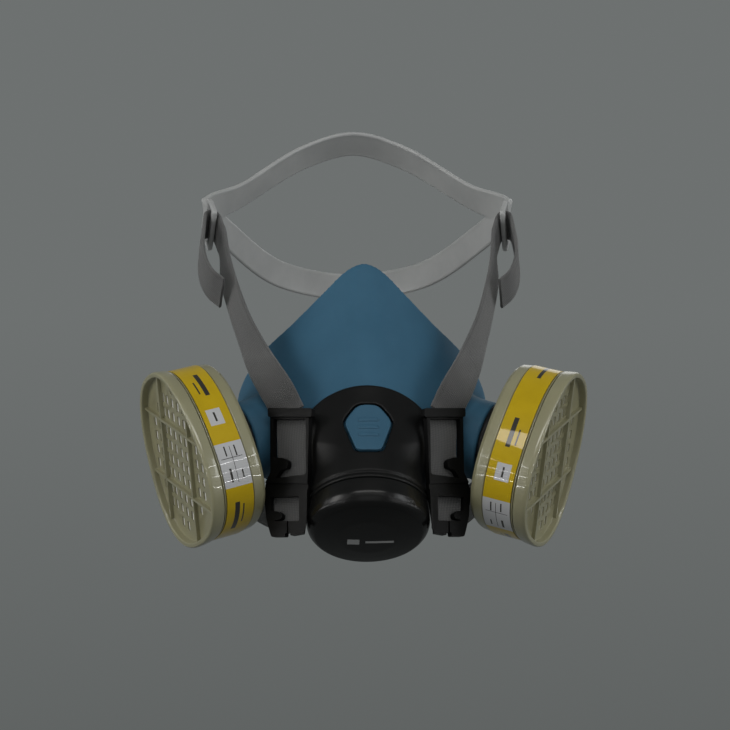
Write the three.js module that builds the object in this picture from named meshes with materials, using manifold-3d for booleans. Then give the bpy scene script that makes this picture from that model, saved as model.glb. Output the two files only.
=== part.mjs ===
// A half-mask respirator with twin filter cartridges, shown as worn, in millimetres.
// X runs across the face, Y runs back towards the head and Z is up.
// The origin is the middle of the face opening, level with the widest part of the cheek seal.
import * as THREE from "three";
import { mergeVertices } from "three/addons/utils/BufferGeometryUtils.js";
import Module from "manifold-3d";

const wasm = await Module();
wasm.setup();

// ---- Driving dimensions ----
const GAP = 0.35; // clearance between pieces that touch
const ROUND = 20; // sides of a round piece

// Face seal: the right half of its outline from nose to chin, as
// [x, y, z, angle round the port in degrees].
const SEAL = [
  [0, 0, 65.5, 90],
  [8.5, 2, 61, 80],
  [22, 7, 48.5, 66],
  [35, 13.5, 36.5, 50],
  [48.5, 20, 24.5, 34],
  [58, 25, 11.5, 18],
  [62.3, 27.5, -3, 0],
  [60.5, 27.5, -18, -17],
  [51.5, 23.5, -35, -34],
  [38, 17.5, -50, -52],
  [20, 13.5, -60, -71],
  [0, 12, -63, -90],
];
const FACE_WALL = 2.2;
const FLANGE_WIDTH = 9;
const FLANGE_WALL = 1.6;
const FLANGE_BACK = 2.6; // how far the flange's inner edge stands back from the seal line
const TURRET_TOP = -6.2; // the facepiece's rim round each cartridge port, in the port's frame

// Exhalation snout: a drum whose axis points forward and down.
const SNOUT_ANGLE = THREE.MathUtils.degToRad(55.5); // below the horizontal
const SNOUT_END = new THREE.Vector3(0, -50.5, -61.75); // centre of the drum's front edge
const SNOUT_RADIUS = 27.5;
const SHELL_WALL = 1.9;
const CAP_DEPTH = 12.9;
const EXHALE_BORE = 17.8;
const EXHALE_FLAP_RADIUS = 16.5;
const PORT_DEPTH = 24; // from the drum's front edge back to the facepiece's own rim
const PORT_RADIUS = 22.5;
const ARCH_TOP = 7;
const ARCH_RADIUS = 35.5;
const HOOD_WALL = 2; // where the cover laps over the facepiece
const HOOD_BOTTOM = -38;

// Size badge on the front cover, as half of its outline in the cover's own plane.
const BADGE_HALF = [
  [4.6, 12.3],
  [10.8, 4.2],
  [6, -12.3],
];
const BADGE_CORNER = 1.6;
const BADGE_GAP = 0.6; // between the badge and the edge of its recess
const BADGE_DEPTH = 39.8; // from the drum's front edge to the badge's middle

// Cartridge port: where the cartridge's back rests, and which way it faces.
const PORT_CENTRE = new THREE.Vector3(-65.1, -17, -21.6);
const PORT_AZIMUTH = THREE.MathUtils.degToRad(66); // from straight ahead
const PORT_DROP = THREE.MathUtils.degToRad(13); // below the horizontal
const SPIGOT_RADIUS = 13;
const SPIGOT_WALL = 2.2;
const INHALE_FLAP_RADIUS = 9.6;
const LUG_RADIUS = 15.5;
const LUG_COUNT = 3;
const LUG_WIDTH = THREE.MathUtils.degToRad(26);
const BOSS_RADIUS = 19.4;
const SKIRT_RADIUS = 23.4;
const SPIGOT_TOP = 5.4;
const SPIDER_FROM = -15; // the spokes that hold the inhalation flap
const SPIDER_TO = -13.2;
const BARREL_RADIUS = 14.2; // the threaded length that the nut runs on
const NUT_RADIUS = 17;
const NUT_THICK = 3;
const NUT_FACE = -20; // where the nut bears on the inside of the facepiece

// Cartridge.
const CASE_HALF_WIDTH = 35.5;
const CASE_HALF_HEIGHT = 42.5;
const CASE_TAPER = 0.17; // how much narrower the top is than the middle
const CASE_SQUARE = 0.84; // 1 is an ellipse, and lower is squarer
const CASE_LEAN = THREE.MathUtils.degToRad(15); // the top leans back
const CASE_SIDES = 24;
const CASE_DEPTH = 22.4;
const LID_DEPTH = 6.8;
const LABEL_FROM = 7.4;
const LABEL_TO = 21.6;
const BED_INSET = 5.2; // the felts and the carbon inside the case's widest outline
const GRID_ROLL = THREE.MathUtils.degToRad(-17); // the grille's rows fall towards the front
const SLOT_WIDTH = 2.6;
const SLOT_PITCH = 6;
const RIB_X = 15; // the grille's upright ribs, from its middle
const RIB_Y = 15.2; // the grille's cross ribs, from its middle

// Straps and yokes.
const STRAP_WIDTH = 18;
const STRAP_THICK = 1.6;
const YOKE_TOP = new THREE.Vector3(-34.8, -35.5, -4.2); // middle of the top bar's upper edge
const YOKE_ACROSS = new THREE.Vector3(0.8, -0.6, 0); // towards the front cover
const YOKE_DOWN = new THREE.Vector3(0, -0.22, -0.9755);
const YOKE_THICK = 2.8;

// Head that the straps run round, as an ellipsoid.
const HEAD_CENTRE = new THREE.Vector3(0, 80, 55);
const HEAD_RADII = new THREE.Vector3(75, 96, 108);

// Head cradle: [around, up] pairs in degrees from the buckle to the middle of the back of the head.
const CRADLE_WALL = 2.2;
const CRADLE_LIFT = 2.4; // off the head
const UPPER_BAND = [112, 30, 150, 46, 180, 52];
const UPPER_BAND_WIDTH = 17;
const LOWER_BAND = [112, 18, 150, 8, 180, 5];
const LOWER_BAND_WIDTH = 15;
const BUCKLE_WALL = 2.6;

// The strap's fold over the buckle's bar and its loose tail, as [along, out] in the buckle's frame.
const FOLD = [
  [-15, -3.1],
  [-8, -3.1],
  [1, -3],
  [3.9, -2],
  [4.9, 0.3],
  [3.6, 2.9],
  [0, 4.4],
  [-10, 7.2],
  [-24, 10.8],
  [-38, 12.4],
  [-49, 11.2],
  [-57, 7.4],
];

// Neck clasp: its middle, and how far the tongue pulls out.
const CLASP_Y = 131;
const CLASP_Z = -24;
const CLASP_TRAVEL = 8;
const CLASP_HALF_THICK = 2.6;
const CLASP_HALF_HEIGHT = 11.5;

// Neck strap: its middle line from the yoke to the clasp, and the way its face looks.
const NECK_STRAP = [
  [-39.4, -36, -52.6],
  [-43.5, -25, -52.3],
  [-50, -5, -50.4],
  [-57, 18, -46.8],
  [-62, 42, -41.6],
  [-62.5, 68, -35.5],
  [-55, 97, -29.5],
  [-38, 120, -25.5],
  [-15 - CLASP_TRAVEL, CLASP_Y - 1, CLASP_Z],
];
const NECK_FACING = [
  [-0.9, -0.42, 0],
  [-0.94, -0.33, 0],
  [-0.95, -0.3, 0],
  [-0.97, -0.24, 0],
  [-1, -0.08, 0],
  [-0.99, 0.12, 0],
  [-0.87, 0.5, 0],
  [-0.6, 0.8, 0],
  [-0.3, 0.95, 0],
];

// ---- Small tools ----
const vec = (x, y, z) => new THREE.Vector3(x, y, z);
const deg = THREE.MathUtils.degToRad;
const mirrored = new THREE.Matrix4().makeScale(-1, 1, 1).elements;

function toSolid(geometry) {
  const bare = geometry.index ? geometry.toNonIndexed() : geometry.clone();
  bare.deleteAttribute("normal");
  bare.deleteAttribute("uv");
  const merged = mergeVertices(bare, 1e-4);
  return new wasm.Manifold(
    new wasm.Mesh({
      numProp: 3,
      vertProperties: merged.attributes.position.array,
      triVerts: new Uint32Array(merged.index.array),
    }),
  );
}

function toGeometry(solid) {
  const mesh = solid.getMesh();
  const geometry = new THREE.BufferGeometry();
  const positions = new THREE.BufferAttribute(new Float32Array(mesh.vertProperties), 3);
  geometry.setAttribute("position", positions);
  geometry.setIndex(new THREE.BufferAttribute(new Uint32Array(mesh.triVerts), 1));
  return geometry;
}

const cut = (body, ...tools) => tools.reduce((left, tool) => left.subtract(tool), body);
const join = (...bodies) => bodies.reduce((all, body) => all.add(body));

// A body of revolution about +Z from a closed profile of [radius, z] points, outside going up.
function turned(profile, sides = ROUND) {
  const closed = profile[0][0] ? [...profile, profile[0]] : profile;
  const points = closed.map(([radius, z]) => new THREE.Vector2(radius, z));
  return toSolid(new THREE.LatheGeometry(points, sides).rotateX(Math.PI / 2));
}

const rod = (radius, from, to, sides = ROUND) =>
  turned([[0, from], [radius, from], [radius, to], [0, to]], sides);
const ring = (outer, inner, from, to, sides = ROUND) =>
  turned([[inner, from], [outer, from], [outer, to], [inner, to]], sides);

// A box by its lowest and highest corners.
function block([x0, y0, z0], [x1, y1, z1]) {
  const box = new THREE.BoxGeometry(x1 - x0, y1 - y0, z1 - z0);
  return toSolid(box.translate((x0 + x1) / 2, (y0 + y1) / 2, (z0 + z1) / 2));
}

// A flat outline of [x, y] points pulled up from z = from to z = to, with its corners rounded.
function plate(outline, from, to, corner = 0) {
  const sharp = () => new THREE.Shape(outline.map((point) => new THREE.Vector2(...point)));
  const shape = corner ? roundedShape(outline, corner) : sharp();
  const options = { depth: to - from, bevelEnabled: false, curveSegments: 3 };
  return toSolid(new THREE.ExtrudeGeometry(shape, options).translate(0, 0, from));
}

function roundedShape(outline, corner) {
  const shape = new THREE.Shape();
  outline.forEach((point, i) => {
    const here = new THREE.Vector2(...point);
    const towards = (other) => new THREE.Vector2(...other).sub(here).setLength(corner).add(here);
    const before = towards(outline.at(i - 1));
    const after = towards(outline[(i + 1) % outline.length]);
    if (i === 0) shape.moveTo(before.x, before.y);
    else shape.lineTo(before.x, before.y);
    shape.quadraticCurveTo(here.x, here.y, after.x, after.y);
  });
  shape.closePath();
  return shape;
}

// A closed skin over rings of points. Open ends are capped unless the rings close on themselves.
function skin(rings, closed = false) {
  const count = rings[0].length;
  const points = rings.flat();
  const faces = [];
  const spans = closed ? rings.length : rings.length - 1;
  for (let i = 0; i < spans; i++) {
    const low = i * count;
    const high = ((i + 1) % rings.length) * count;
    for (let j = 0; j < count; j++) {
      const k = (j + 1) % count;
      faces.push(low + j, low + k, high + k, low + j, high + k, high + j);
    }
  }
  if (!closed) {
    const last = (rings.length - 1) * count;
    for (let j = 1; j < count - 1; j++) {
      faces.push(0, j + 1, j);
      faces.push(last, last + j, last + j + 1);
    }
  }
  const geometry = new THREE.BufferGeometry().setFromPoints(points);
  geometry.setIndex(faces);
  const solid = toSolid(geometry);
  if (solid.volume() > 0) return solid;
  return toSolid(geometry.setIndex([...faces].reverse()));
}

// A strap or band: a flat section carried along a curve, with the way its face looks at each station.
function band(stations, facings, width, thick, steps) {
  const line = new THREE.CatmullRomCurve3(stations.map((p) => vec(...p)), false, "centripetal");
  const look = new THREE.CatmullRomCurve3(facings.map((p) => vec(...p)), false, "centripetal");
  const rings = [];
  for (let i = 0; i <= steps; i++) {
    const t = i / steps;
    const along = line.getTangent(t);
    const across = along.clone().cross(look.getPoint(t)).normalize();
    const face = across.clone().cross(along).normalize();
    const corner = (w, h) =>
      line.getPoint(t).addScaledVector(across, (w * width) / 2).addScaledVector(face, (h * thick) / 2);
    rings.push([corner(-1, -1), corner(1, -1), corner(1, 1), corner(-1, 1)]);
  }
  return skin(rings);
}

// ---- Frames of the tilted pieces ----
const snoutWay = vec(0, -Math.cos(SNOUT_ANGLE), -Math.sin(SNOUT_ANGLE));
// Square to the drum, towards the front.
const snoutUp = vec(0, -Math.sin(SNOUT_ANGLE), Math.cos(SNOUT_ANGLE));
// Local +Z runs out along the drum and local +Y is its upper front side.
const snoutFrame = new THREE.Matrix4()
  .makeBasis(snoutUp.clone().cross(snoutWay), snoutUp, snoutWay)
  .setPosition(SNOUT_END);

const portWay = vec(
  -Math.sin(PORT_AZIMUTH) * Math.cos(PORT_DROP),
  -Math.cos(PORT_AZIMUTH) * Math.cos(PORT_DROP),
  -Math.sin(PORT_DROP),
);
const portFront = vec(Math.cos(PORT_AZIMUTH), -Math.sin(PORT_AZIMUTH), 0);
// Local +Z runs out along the port and local +X towards the front of the face.
const portFrame = new THREE.Matrix4()
  .makeBasis(portFront, portWay.clone().cross(portFront), portWay)
  .setPosition(PORT_CENTRE);

// Local +X runs in towards the front cover, +Y up and +Z out of the yoke's front.
const yokeFrame = new THREE.Matrix4()
  .makeBasis(YOKE_ACROSS, YOKE_DOWN.clone().negate(), YOKE_ACROSS.clone().cross(YOKE_DOWN.clone().negate()))
  .setPosition(YOKE_TOP);

// ---- Facepiece ----
const LOFT = [0, 0.15, 0.32, 0.5, 0.68, 0.85, 1];
const SEAL_SIDES = 34;

// The whole seal outline: the right half, then the left half mirrored back up to the nose.
const sealLoop = [
  ...SEAL,
  ...SEAL.slice(1, -1)
    .reverse()
    .map(([x, y, z, angle]) => [-x, y, z, 180 - angle]),
];

// How far the wall bows out on the way from the seal to the port: least along the nose.
function bow(angle) {
  const upright = Math.sin(deg(angle));
  return upright > 0 ? 1 - 0.98 * upright ** 1.3 : 1 - 0.5 * upright ** 2;
}

function loftPoint([x, y, z, angle], t) {
  const curve = bow(angle);
  const inward = THREE.MathUtils.lerp(t, 1 - Math.cos((t * Math.PI) / 2), curve);
  const forward = THREE.MathUtils.lerp(t, Math.sin((t * Math.PI) / 2), curve);
  const rim = vec(PORT_RADIUS * Math.cos(deg(angle)), PORT_RADIUS * Math.sin(deg(angle)), -PORT_DEPTH);
  rim.applyMatrix4(snoutFrame);
  return vec(
    THREE.MathUtils.lerp(x, rim.x, inward),
    THREE.MathUtils.lerp(y, rim.y, forward),
    THREE.MathUtils.lerp(z, rim.z, inward),
  );
}

function loftRing(t) {
  const curve = new THREE.CatmullRomCurve3(sealLoop.map((point) => loftPoint(point, t)), true);
  return curve.getPoints(SEAL_SIDES).slice(0, SEAL_SIDES);
}

// The rings of the outer wall moved along the wall's own normal, outwards if distance is over 0.
function shiftedRings(distance) {
  const rings = LOFT.map(loftRing);
  return rings.map((points, i) =>
    points.map((p, j) => {
      const round = points[(j + 1) % SEAL_SIDES].clone().sub(points.at(j - 1));
      const rise = rings[Math.min(i + 1, rings.length - 1)][j].clone().sub(rings[Math.max(i - 1, 0)][j]);
      return p.clone().addScaledVector(round.cross(rise).normalize(), -distance);
    }),
  );
}

// The seal's inward flange: rings moved towards the middle of the face and back.
function flangeRing(inward, back) {
  return loftRing(0).map((p) => {
    const middle = vec(-p.x, 0, -p.z).setLength(inward);
    return p.clone().add(middle).add(vec(0, back, 0));
  });
}

function facepiece() {
  const outer = shiftedRings(0);
  const inner = shiftedRings(-FACE_WALL).slice(1).reverse();
  const wall = skin(
    [
      ...outer,
      ...inner,
      flangeRing(FACE_WALL + 0.8, -2.2),
      flangeRing(FLANGE_WIDTH, FLANGE_BACK - FLANGE_WALL),
      flangeRing(FLANGE_WIDTH, FLANGE_BACK),
    ],
    true,
  );
  // Each turret has a flat floor for the nut and a skirt that runs down into the cheek.
  const skirt = turned([
    [NUT_RADIUS + GAP, -36],
    [SKIRT_RADIUS, -36],
    [BOSS_RADIUS + 1, -20],
    [BOSS_RADIUS, -14],
    [BOSS_RADIUS, TURRET_TOP - 1],
    [BOSS_RADIUS - 1, TURRET_TOP],
    [NUT_RADIUS + GAP, TURRET_TOP],
  ]);
  const inFrontOfSeal = block([-120, -80, -90], [0, 8, 60]);
  const turret = join(
    cut(skirt.transform(portFrame.elements), faceVolume(-0.4)).intersect(inFrontOfSeal),
    rod(NUT_RADIUS + 1, NUT_FACE, TURRET_TOP).transform(portFrame.elements),
  );
  const pocket = join(rod(NUT_RADIUS + GAP, -60, NUT_FACE), rod(SPIGOT_RADIUS + 1.6, -40, 5));
  const bore = pocket.transform(portFrame.elements);
  const turrets = join(turret, turret.transform(mirrored));
  return toGeometry(join(wall, turrets).subtract(join(bore, bore.transform(mirrored))));
}

// The facepiece's outer shape with its inside filled, grown by distance: a tool for cutting its neighbours.
function faceVolume(distance) {
  return skin(shiftedRings(distance));
}

// ---- Snout: front cover, badge, exhalation valve and its cap ----
const coverEnd = -CAP_DEPTH - GAP;

// The cover's outline from the front: straight sides under an arch.
function archTool() {
  const shape = new THREE.Shape();
  const half = SNOUT_RADIUS;
  const swing = Math.asin(half / ARCH_RADIUS);
  shape.moveTo(-half, -100);
  shape.lineTo(half, -100);
  shape.absarc(0, ARCH_TOP - ARCH_RADIUS, ARCH_RADIUS, Math.PI / 2 - swing, Math.PI / 2 + swing);
  const prism = new THREE.ExtrudeGeometry(shape, { depth: 140, bevelEnabled: false, curveSegments: 14 });
  return toSolid(prism.rotateX(Math.PI / 2).translate(0, 40, 0));
}

function badgeOutline(grow) {
  const right = BADGE_HALF.map(([x, y]) => [x + grow * Math.sign(x), y + grow * Math.sign(y)]);
  const left = [...right].reverse().map(([x, y]) => [-x, y]);
  return [...right, ...left].reverse();
}

// A prism through the front of the cover, square to its surface at the badge.
function badgePrism(grow) {
  const toCover = new THREE.Matrix4()
    .makeBasis(vec(-1, 0, 0), vec(0, 0, -1), vec(0, -1, 0))
    .premultiply(new THREE.Matrix4().makeRotationX(Math.PI))
    .setPosition(0, 0, -BADGE_DEPTH);
  return plate(badgeOutline(grow), 15, 45, BADGE_CORNER).transform(toCover.elements);
}

function frontCover() {
  const tube = ring(SNOUT_RADIUS, SNOUT_RADIUS - SHELL_WALL, -68, coverEnd, 32);
  const hollow = rod(SNOUT_RADIUS - 1, -90, 30, 32).transform(snoutFrame.elements);
  const aboveHood = block([-SNOUT_RADIUS, -90, HOOD_BOTTOM], [SNOUT_RADIUS, -8, 30]);
  const hood = cut(faceVolume(GAP + HOOD_WALL), hollow).intersect(aboveHood);
  const recess = badgePrism(BADGE_GAP).transform(snoutFrame.elements);
  const shell = cut(join(tube.transform(snoutFrame.elements), hood), recess);
  const turret = rod(SKIRT_RADIUS + GAP, -40, 0).transform(portFrame.elements);
  const turrets = join(turret, turret.transform(mirrored));
  const behind = block([-40, -5, -40], [40, 40, 40]);
  return toGeometry(cut(shell.intersect(archTool()), faceVolume(GAP), turrets, behind));
}

function sizeBadge() {
  const tube = ring(SNOUT_RADIUS + 0.5, SNOUT_RADIUS - SHELL_WALL - 0.6, -60, -20, 32);
  const shield = tube.intersect(badgePrism(0)).transform(snoutFrame.elements);
  return toGeometry(cut(shield, faceVolume(GAP)));
}

function exhaleSeat() {
  const sleeve = ring(PORT_RADIUS - FACE_WALL - GAP, EXHALE_BORE, -PORT_DEPTH - 7, -PORT_DEPTH + 4.4);
  const flange = ring(25, EXHALE_BORE, -PORT_DEPTH + GAP, -PORT_DEPTH + 2.4);
  const collar = ring(24.7, 23.3, -PORT_DEPTH + 1, -CAP_DEPTH + 4.6);
  const spokes = [0, 1, 2].map((i) =>
    block([-18.4, -1, -PORT_DEPTH + 1.4], [18.4, 1, -PORT_DEPTH + 3.4]).rotate([0, 0, i * 60]),
  );
  const hub = rod(3.6, -PORT_DEPTH + 1.4, -PORT_DEPTH + 3.4);
  return toGeometry(join(sleeve, flange, collar, ...spokes, hub).subtract(rod(1.6, -60, 10, 16)));
}

// A flap valve: a disc with a stem and a bulb that holds it on its seat's hub.
function flap(radius, discAt, bulbAt) {
  const way = Math.sign(discAt - bulbAt);
  const profile = [
    [0, bulbAt - way * 2.4],
    [1.1, bulbAt - way * 2.2],
    [2.3, bulbAt],
    [1.15, bulbAt],
    [1.15, discAt],
    [radius, discAt],
    [radius, discAt + way * 0.7],
    [2.4, discAt + way * 0.7],
    [1.6, discAt + way * 1.5],
    [0, discAt + way * 1.5],
  ];
  return turned(way > 0 ? profile : profile.reverse());
}

function valveCap() {
  const inner = SNOUT_RADIUS - SHELL_WALL - 0.45;
  const drum = turned(
    [
      [0, 0.4],
      [inner - 3, -0.6],
      [inner, -3],
      [inner, -CAP_DEPTH],
      [SNOUT_RADIUS, -CAP_DEPTH],
      [SNOUT_RADIUS, -3.2],
      [SNOUT_RADIUS - 0.7, -1.4],
      [SNOUT_RADIUS - 2.6, 0.2],
      [SNOUT_RADIUS - 8, 1.5],
      [0, 2.6],
    ],
    40,
  );
  const vents = [-2, -1, 0, 1, 2].map((i) =>
    block([-2.6, -40, -7.6], [2.6, -15, -4.2]).rotate([0, 0, i * 17]),
  );
  return toGeometry(cut(drum, ...vents));
}

// ---- Cartridge port, in the port's frame ----
function portBody() {
  const bore = SPIGOT_RADIUS - SPIGOT_WALL;
  const flange = BOSS_RADIUS + 1.2;
  const tube = turned([
    [bore, -24],
    [BARREL_RADIUS, -24],
    [BARREL_RADIUS, -5.8],
    [flange - 1, -5.8],
    [flange, -4.8],
    [flange, -3.4],
    [flange - 0.8, -2.7],
    [SPIGOT_RADIUS, -2.7],
    [SPIGOT_RADIUS, SPIGOT_TOP],
    [bore, SPIGOT_TOP],
  ]);
  const lugs = Array.from({ length: LUG_COUNT }, (_, i) => lug(i, LUG_WIDTH, LUG_RADIUS, 2.6, 5));
  const spoke = block([-bore - 1, -0.9, SPIDER_FROM], [bore + 1, 0.9, SPIDER_TO]);
  const hub = rod(3.2, SPIDER_FROM, SPIDER_TO, 16);
  const spider = join(spoke, spoke.rotate([0, 0, 90]), hub);
  return toGeometry(join(tube, ...lugs, spider).subtract(rod(1.5, -30, 0, 12)));
}

// A wedge-shaped lug or notch, with its middle at the top plus a third of a turn for each one.
function lug(i, width, radius, from, to) {
  const middle = Math.PI / 2 + (i * 2 * Math.PI) / LUG_COUNT;
  const outline = [[0, 0]];
  for (let step = -2; step <= 2; step++) {
    const angle = middle + (step * width) / 4;
    outline.push([radius * Math.cos(angle), radius * Math.sin(angle)]);
  }
  const hollow = rod(SPIGOT_RADIUS - 1, from - 1, to + 1);
  return plate(outline, from, to).subtract(hollow);
}

const portNut = () => ring(NUT_RADIUS, BARREL_RADIUS + GAP, NUT_FACE - GAP - NUT_THICK, NUT_FACE - GAP);

// ---- Cartridge, in the port's frame ----
// The case's outline, this far inside its widest size, at height z.
function caseRing(inset, z) {
  const power = (value) => Math.sign(value) * Math.abs(value) ** CASE_SQUARE;
  return Array.from({ length: CASE_SIDES }, (_, i) => {
    const angle = (i * 2 * Math.PI) / CASE_SIDES;
    const up = power(Math.sin(angle));
    const x = (CASE_HALF_WIDTH - inset) * power(Math.cos(angle)) * (1 - CASE_TAPER * up);
    return vec(x, (CASE_HALF_HEIGHT - inset) * up, z).applyAxisAngle(vec(0, 0, 1), CASE_LEAN);
  });
}

const slab = (inset, from, to) => skin([caseRing(inset, from), caseRing(inset, to)]);

function cartridgeCase() {
  const cup = skin([
    caseRing(5.2, 0),
    caseRing(3.4, 0.7),
    caseRing(2.1, 2.4),
    caseRing(1.6, LABEL_FROM - 0.4),
    caseRing(2.2, LABEL_FROM),
    caseRing(2, LABEL_TO),
    caseRing(1.2, LABEL_TO + 0.3),
    caseRing(1.2, CASE_DEPTH),
    caseRing(3.6, CASE_DEPTH),
    caseRing(4.6, 2.4),
  ]);
  const socket = ring(SPIGOT_RADIUS + 6, LUG_RADIUS + GAP, 1, 5.9);
  const floor = ring(SPIGOT_RADIUS + 6, SPIGOT_RADIUS - 3, 5.8, 7.4);
  const mouth = rod(SPIGOT_RADIUS + GAP, -1, 6.5);
  const undercut = rod(LUG_RADIUS + GAP, 2.2, 5.85);
  const notches = Array.from({ length: LUG_COUNT }, (_, i) =>
    lug(i, LUG_WIDTH + deg(8), LUG_RADIUS + GAP, -1, 3).rotate([0, 0, 40]),
  );
  return toGeometry(cut(join(cup, socket, floor), mouth, undercut, ...notches));
}

// Air slots between the grille's ribs, as long as the case's outline leaves room for.
function slots() {
  const reachX = CASE_HALF_WIDTH - 7;
  const reachY = CASE_HALF_HEIGHT - 7;
  const found = [];
  for (let column = -4; column <= 4; column++) {
    const x = column * SLOT_PITCH;
    if (Math.abs(Math.abs(x) - RIB_X) < 2.2) continue;
    const end = reachY * Math.sqrt(1 - (x / reachX) ** 2);
    for (const [from, to] of [[-end, -RIB_Y - 2], [-RIB_Y + 2, RIB_Y - 2], [RIB_Y + 2, end]]) {
      if (to - from < 5) continue;
      found.push(block([x - SLOT_WIDTH / 2, from, 20], [x + SLOT_WIDTH / 2, to, 30]));
    }
  }
  return found;
}

function cartridgeGrille() {
  const top = CASE_DEPTH + LID_DEPTH;
  const rim = skin([
    caseRing(1.1, CASE_DEPTH + GAP),
    caseRing(0.6, CASE_DEPTH + 0.9),
    caseRing(0.1, top - 1.8),
    caseRing(0.2, top - 0.7),
    caseRing(0.7, top),
    caseRing(2.5, top),
    caseRing(2.8, top - 0.8),
    caseRing(2.8, top - 3.1),
    caseRing(2.8, top - 3.2),
  ]);
  const hollow = slab(3.2, CASE_DEPTH - 1, top - 5);
  const roll = (GRID_ROLL * 180) / Math.PI;
  const ribZ = [top - 3.6, top - 1.9];
  const ribs = [-1, 1].flatMap((side) => [
    block([side * RIB_X - 0.7, -60, ribZ[0]], [side * RIB_X + 0.7, 60, ribZ[1]]),
    block([-60, side * RIB_Y - 0.7, ribZ[0]], [60, side * RIB_Y + 0.7, ribZ[1]]),
  ]);
  const inside = slab(2.4, CASE_DEPTH, top);
  const framed = join(rim, join(...ribs).rotate([0, 0, roll]).intersect(inside));
  return toGeometry(cut(framed, hollow, join(...slots()).rotate([0, 0, roll])));
}

// The printed band in its shallow recess round the case.
function labelBand() {
  const from = LABEL_FROM + 0.3;
  const to = LABEL_TO - 0.3;
  return toGeometry(cut(slab(1.25, from, to), slab(1.8, from - 1, to + 1)));
}

const gasket = () => ring(BOSS_RADIUS + 0.6, LUG_RADIUS + 0.6, -2.4, -GAP);
const filterBed = (from, to) => slab(BED_INSET, from, to);

// ---- Strap yoke, in the yoke's frame ----
function strapYoke() {
  const outline = [[9.2, -58.8], [12.2, 0], [-11.6, 0], [-11.2, -31], [-13.2, -38], [-13.2, -53], [-10.8, -61]];
  const frame = plate(outline, 0, YOKE_THICK, 0.7);
  const upper = plate([[9.2, -32], [9.2, -5.4], [-9.2, -5.4], [-9.2, -34]], -1, 4, 1.2);
  const lower = plate([[5.6, -53.6], [5.6, -42], [-10.8, -42.6], [-10.8, -54]], -1, 4, 1.2);
  const slit = block([-2.4, -66, -1], [-0.6, -53, 4]);
  const topBar = plate([[13.4, -4.6], [13.4, -0.3], [-11.8, -0.3], [-11.8, -4.6]], 0.8, YOKE_THICK + 1, 0.8);
  const hookOutline = [[-10, -33], [-4.2, -28.6], [-1.4, -26.2], [-3.6, -23.6], [-10, -23.6]];
  const hook = plate(hookOutline, 0, YOKE_THICK, 1.2);
  const lowerHookOutline = [[-12, -54.6], [-6.4, -53], [-4.4, -51], [-6.4, -49], [-12, -49]];
  const lowerHook = plate(lowerHookOutline, 0, YOKE_THICK, 0.9);
  const body = join(cut(frame, upper, lower, slit), topBar, hook, lowerHook).transform(yokeFrame.elements);
  return toGeometry(cut(body, snoutClearance()));
}

const snoutClearance = () => rod(SNOUT_RADIUS + GAP, -90, 20, 32).transform(snoutFrame.elements);

// ---- Straps, in the part's own frame, left side ----
const onYoke = (x, y, z) => vec(x, y, z).applyMatrix4(yokeFrame).toArray();
const yokeFace = vec().setFromMatrixColumn(yokeFrame, 2).toArray();
const behindYoke = -STRAP_THICK / 2 - 0.5;

function strapInYoke() {
  const stations = [onYoke(0, -2.6, behindYoke), onYoke(0, -57.5, behindYoke)];
  const strap = band(stations, [yokeFace, yokeFace], STRAP_WIDTH, STRAP_THICK, 2);
  return toGeometry(cut(strap, snoutClearance()));
}

// Up over the cheek and temple to the cradle's buckle: the strap's middle line and the way its face looks.
const UPPER_STRAP = [
  onYoke(-2.6, 6.2, behindYoke - 0.4),
  [-42.6, -27, 7.5],
  [-50.3, -9, 19.5],
  [-58.6, 9, 35],
  [-63.8, 27, 50.5],
  [-68.2, 45, 66],
];
const UPPER_FACING = [
  yokeFace,
  [-0.64, -0.74, 0.2],
  [-0.78, -0.6, 0.18],
  [-0.93, -0.36, 0.1],
  [-0.96, -0.28, 0.1],
  [-0.96, -0.24, 0.1],
  [-0.98, -0.16, 0.04],
];

// The buckle's frame at the cradle's end: +Y runs on along the strap and +Z out from the head.
const buckleAlong = vec(-0.24, 0.75, 0.615).normalize();
const buckleAcross = buckleAlong.clone().cross(vec(-0.98, -0.16, 0.04)).normalize();
const buckleFrame = new THREE.Matrix4()
  .makeBasis(buckleAcross, buckleAlong, buckleAcross.clone().cross(buckleAlong))
  .setPosition(-76.2, 73, 88.8);

function foldedTail() {
  const line = new THREE.SplineCurve(FOLD.map(([along, out]) => new THREE.Vector2(along, out)));
  const steps = 26;
  const rings = [];
  for (let i = 0; i <= steps; i++) {
    const centre = line.getPointAt(i / steps);
    const along = line.getTangentAt(i / steps);
    const half = STRAP_THICK / 2;
    const corner = (w, h) =>
      vec((w * STRAP_WIDTH) / 2, centre.x - h * along.y * half, centre.y + h * along.x * half);
    rings.push([corner(-1, -1), corner(1, -1), corner(1, 1), corner(-1, 1)]);
  }
  return skin(rings).transform(buckleFrame.elements);
}

function upperStrap() {
  const underBuckle = vec(0, -12, FOLD[0][1]).applyMatrix4(buckleFrame).toArray();
  const main = band([...UPPER_STRAP, underBuckle], UPPER_FACING, STRAP_WIDTH, STRAP_THICK, 16);
  return toGeometry(join(main, foldedTail()));
}

// ---- Head cradle ----
// A point over the head: around from straight ahead, up from level and lifted off the skin.
function overHead(around, up, lift) {
  const flat = Math.cos(deg(up));
  const way = vec(-Math.sin(deg(around)) * flat, -Math.cos(deg(around)) * flat, Math.sin(deg(up)));
  const skinPoint = way.clone().multiply(HEAD_RADII);
  const normal = way.clone().divide(HEAD_RADII).normalize();
  return { point: skinPoint.addScaledVector(normal, lift).add(HEAD_CENTRE), normal };
}

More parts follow.
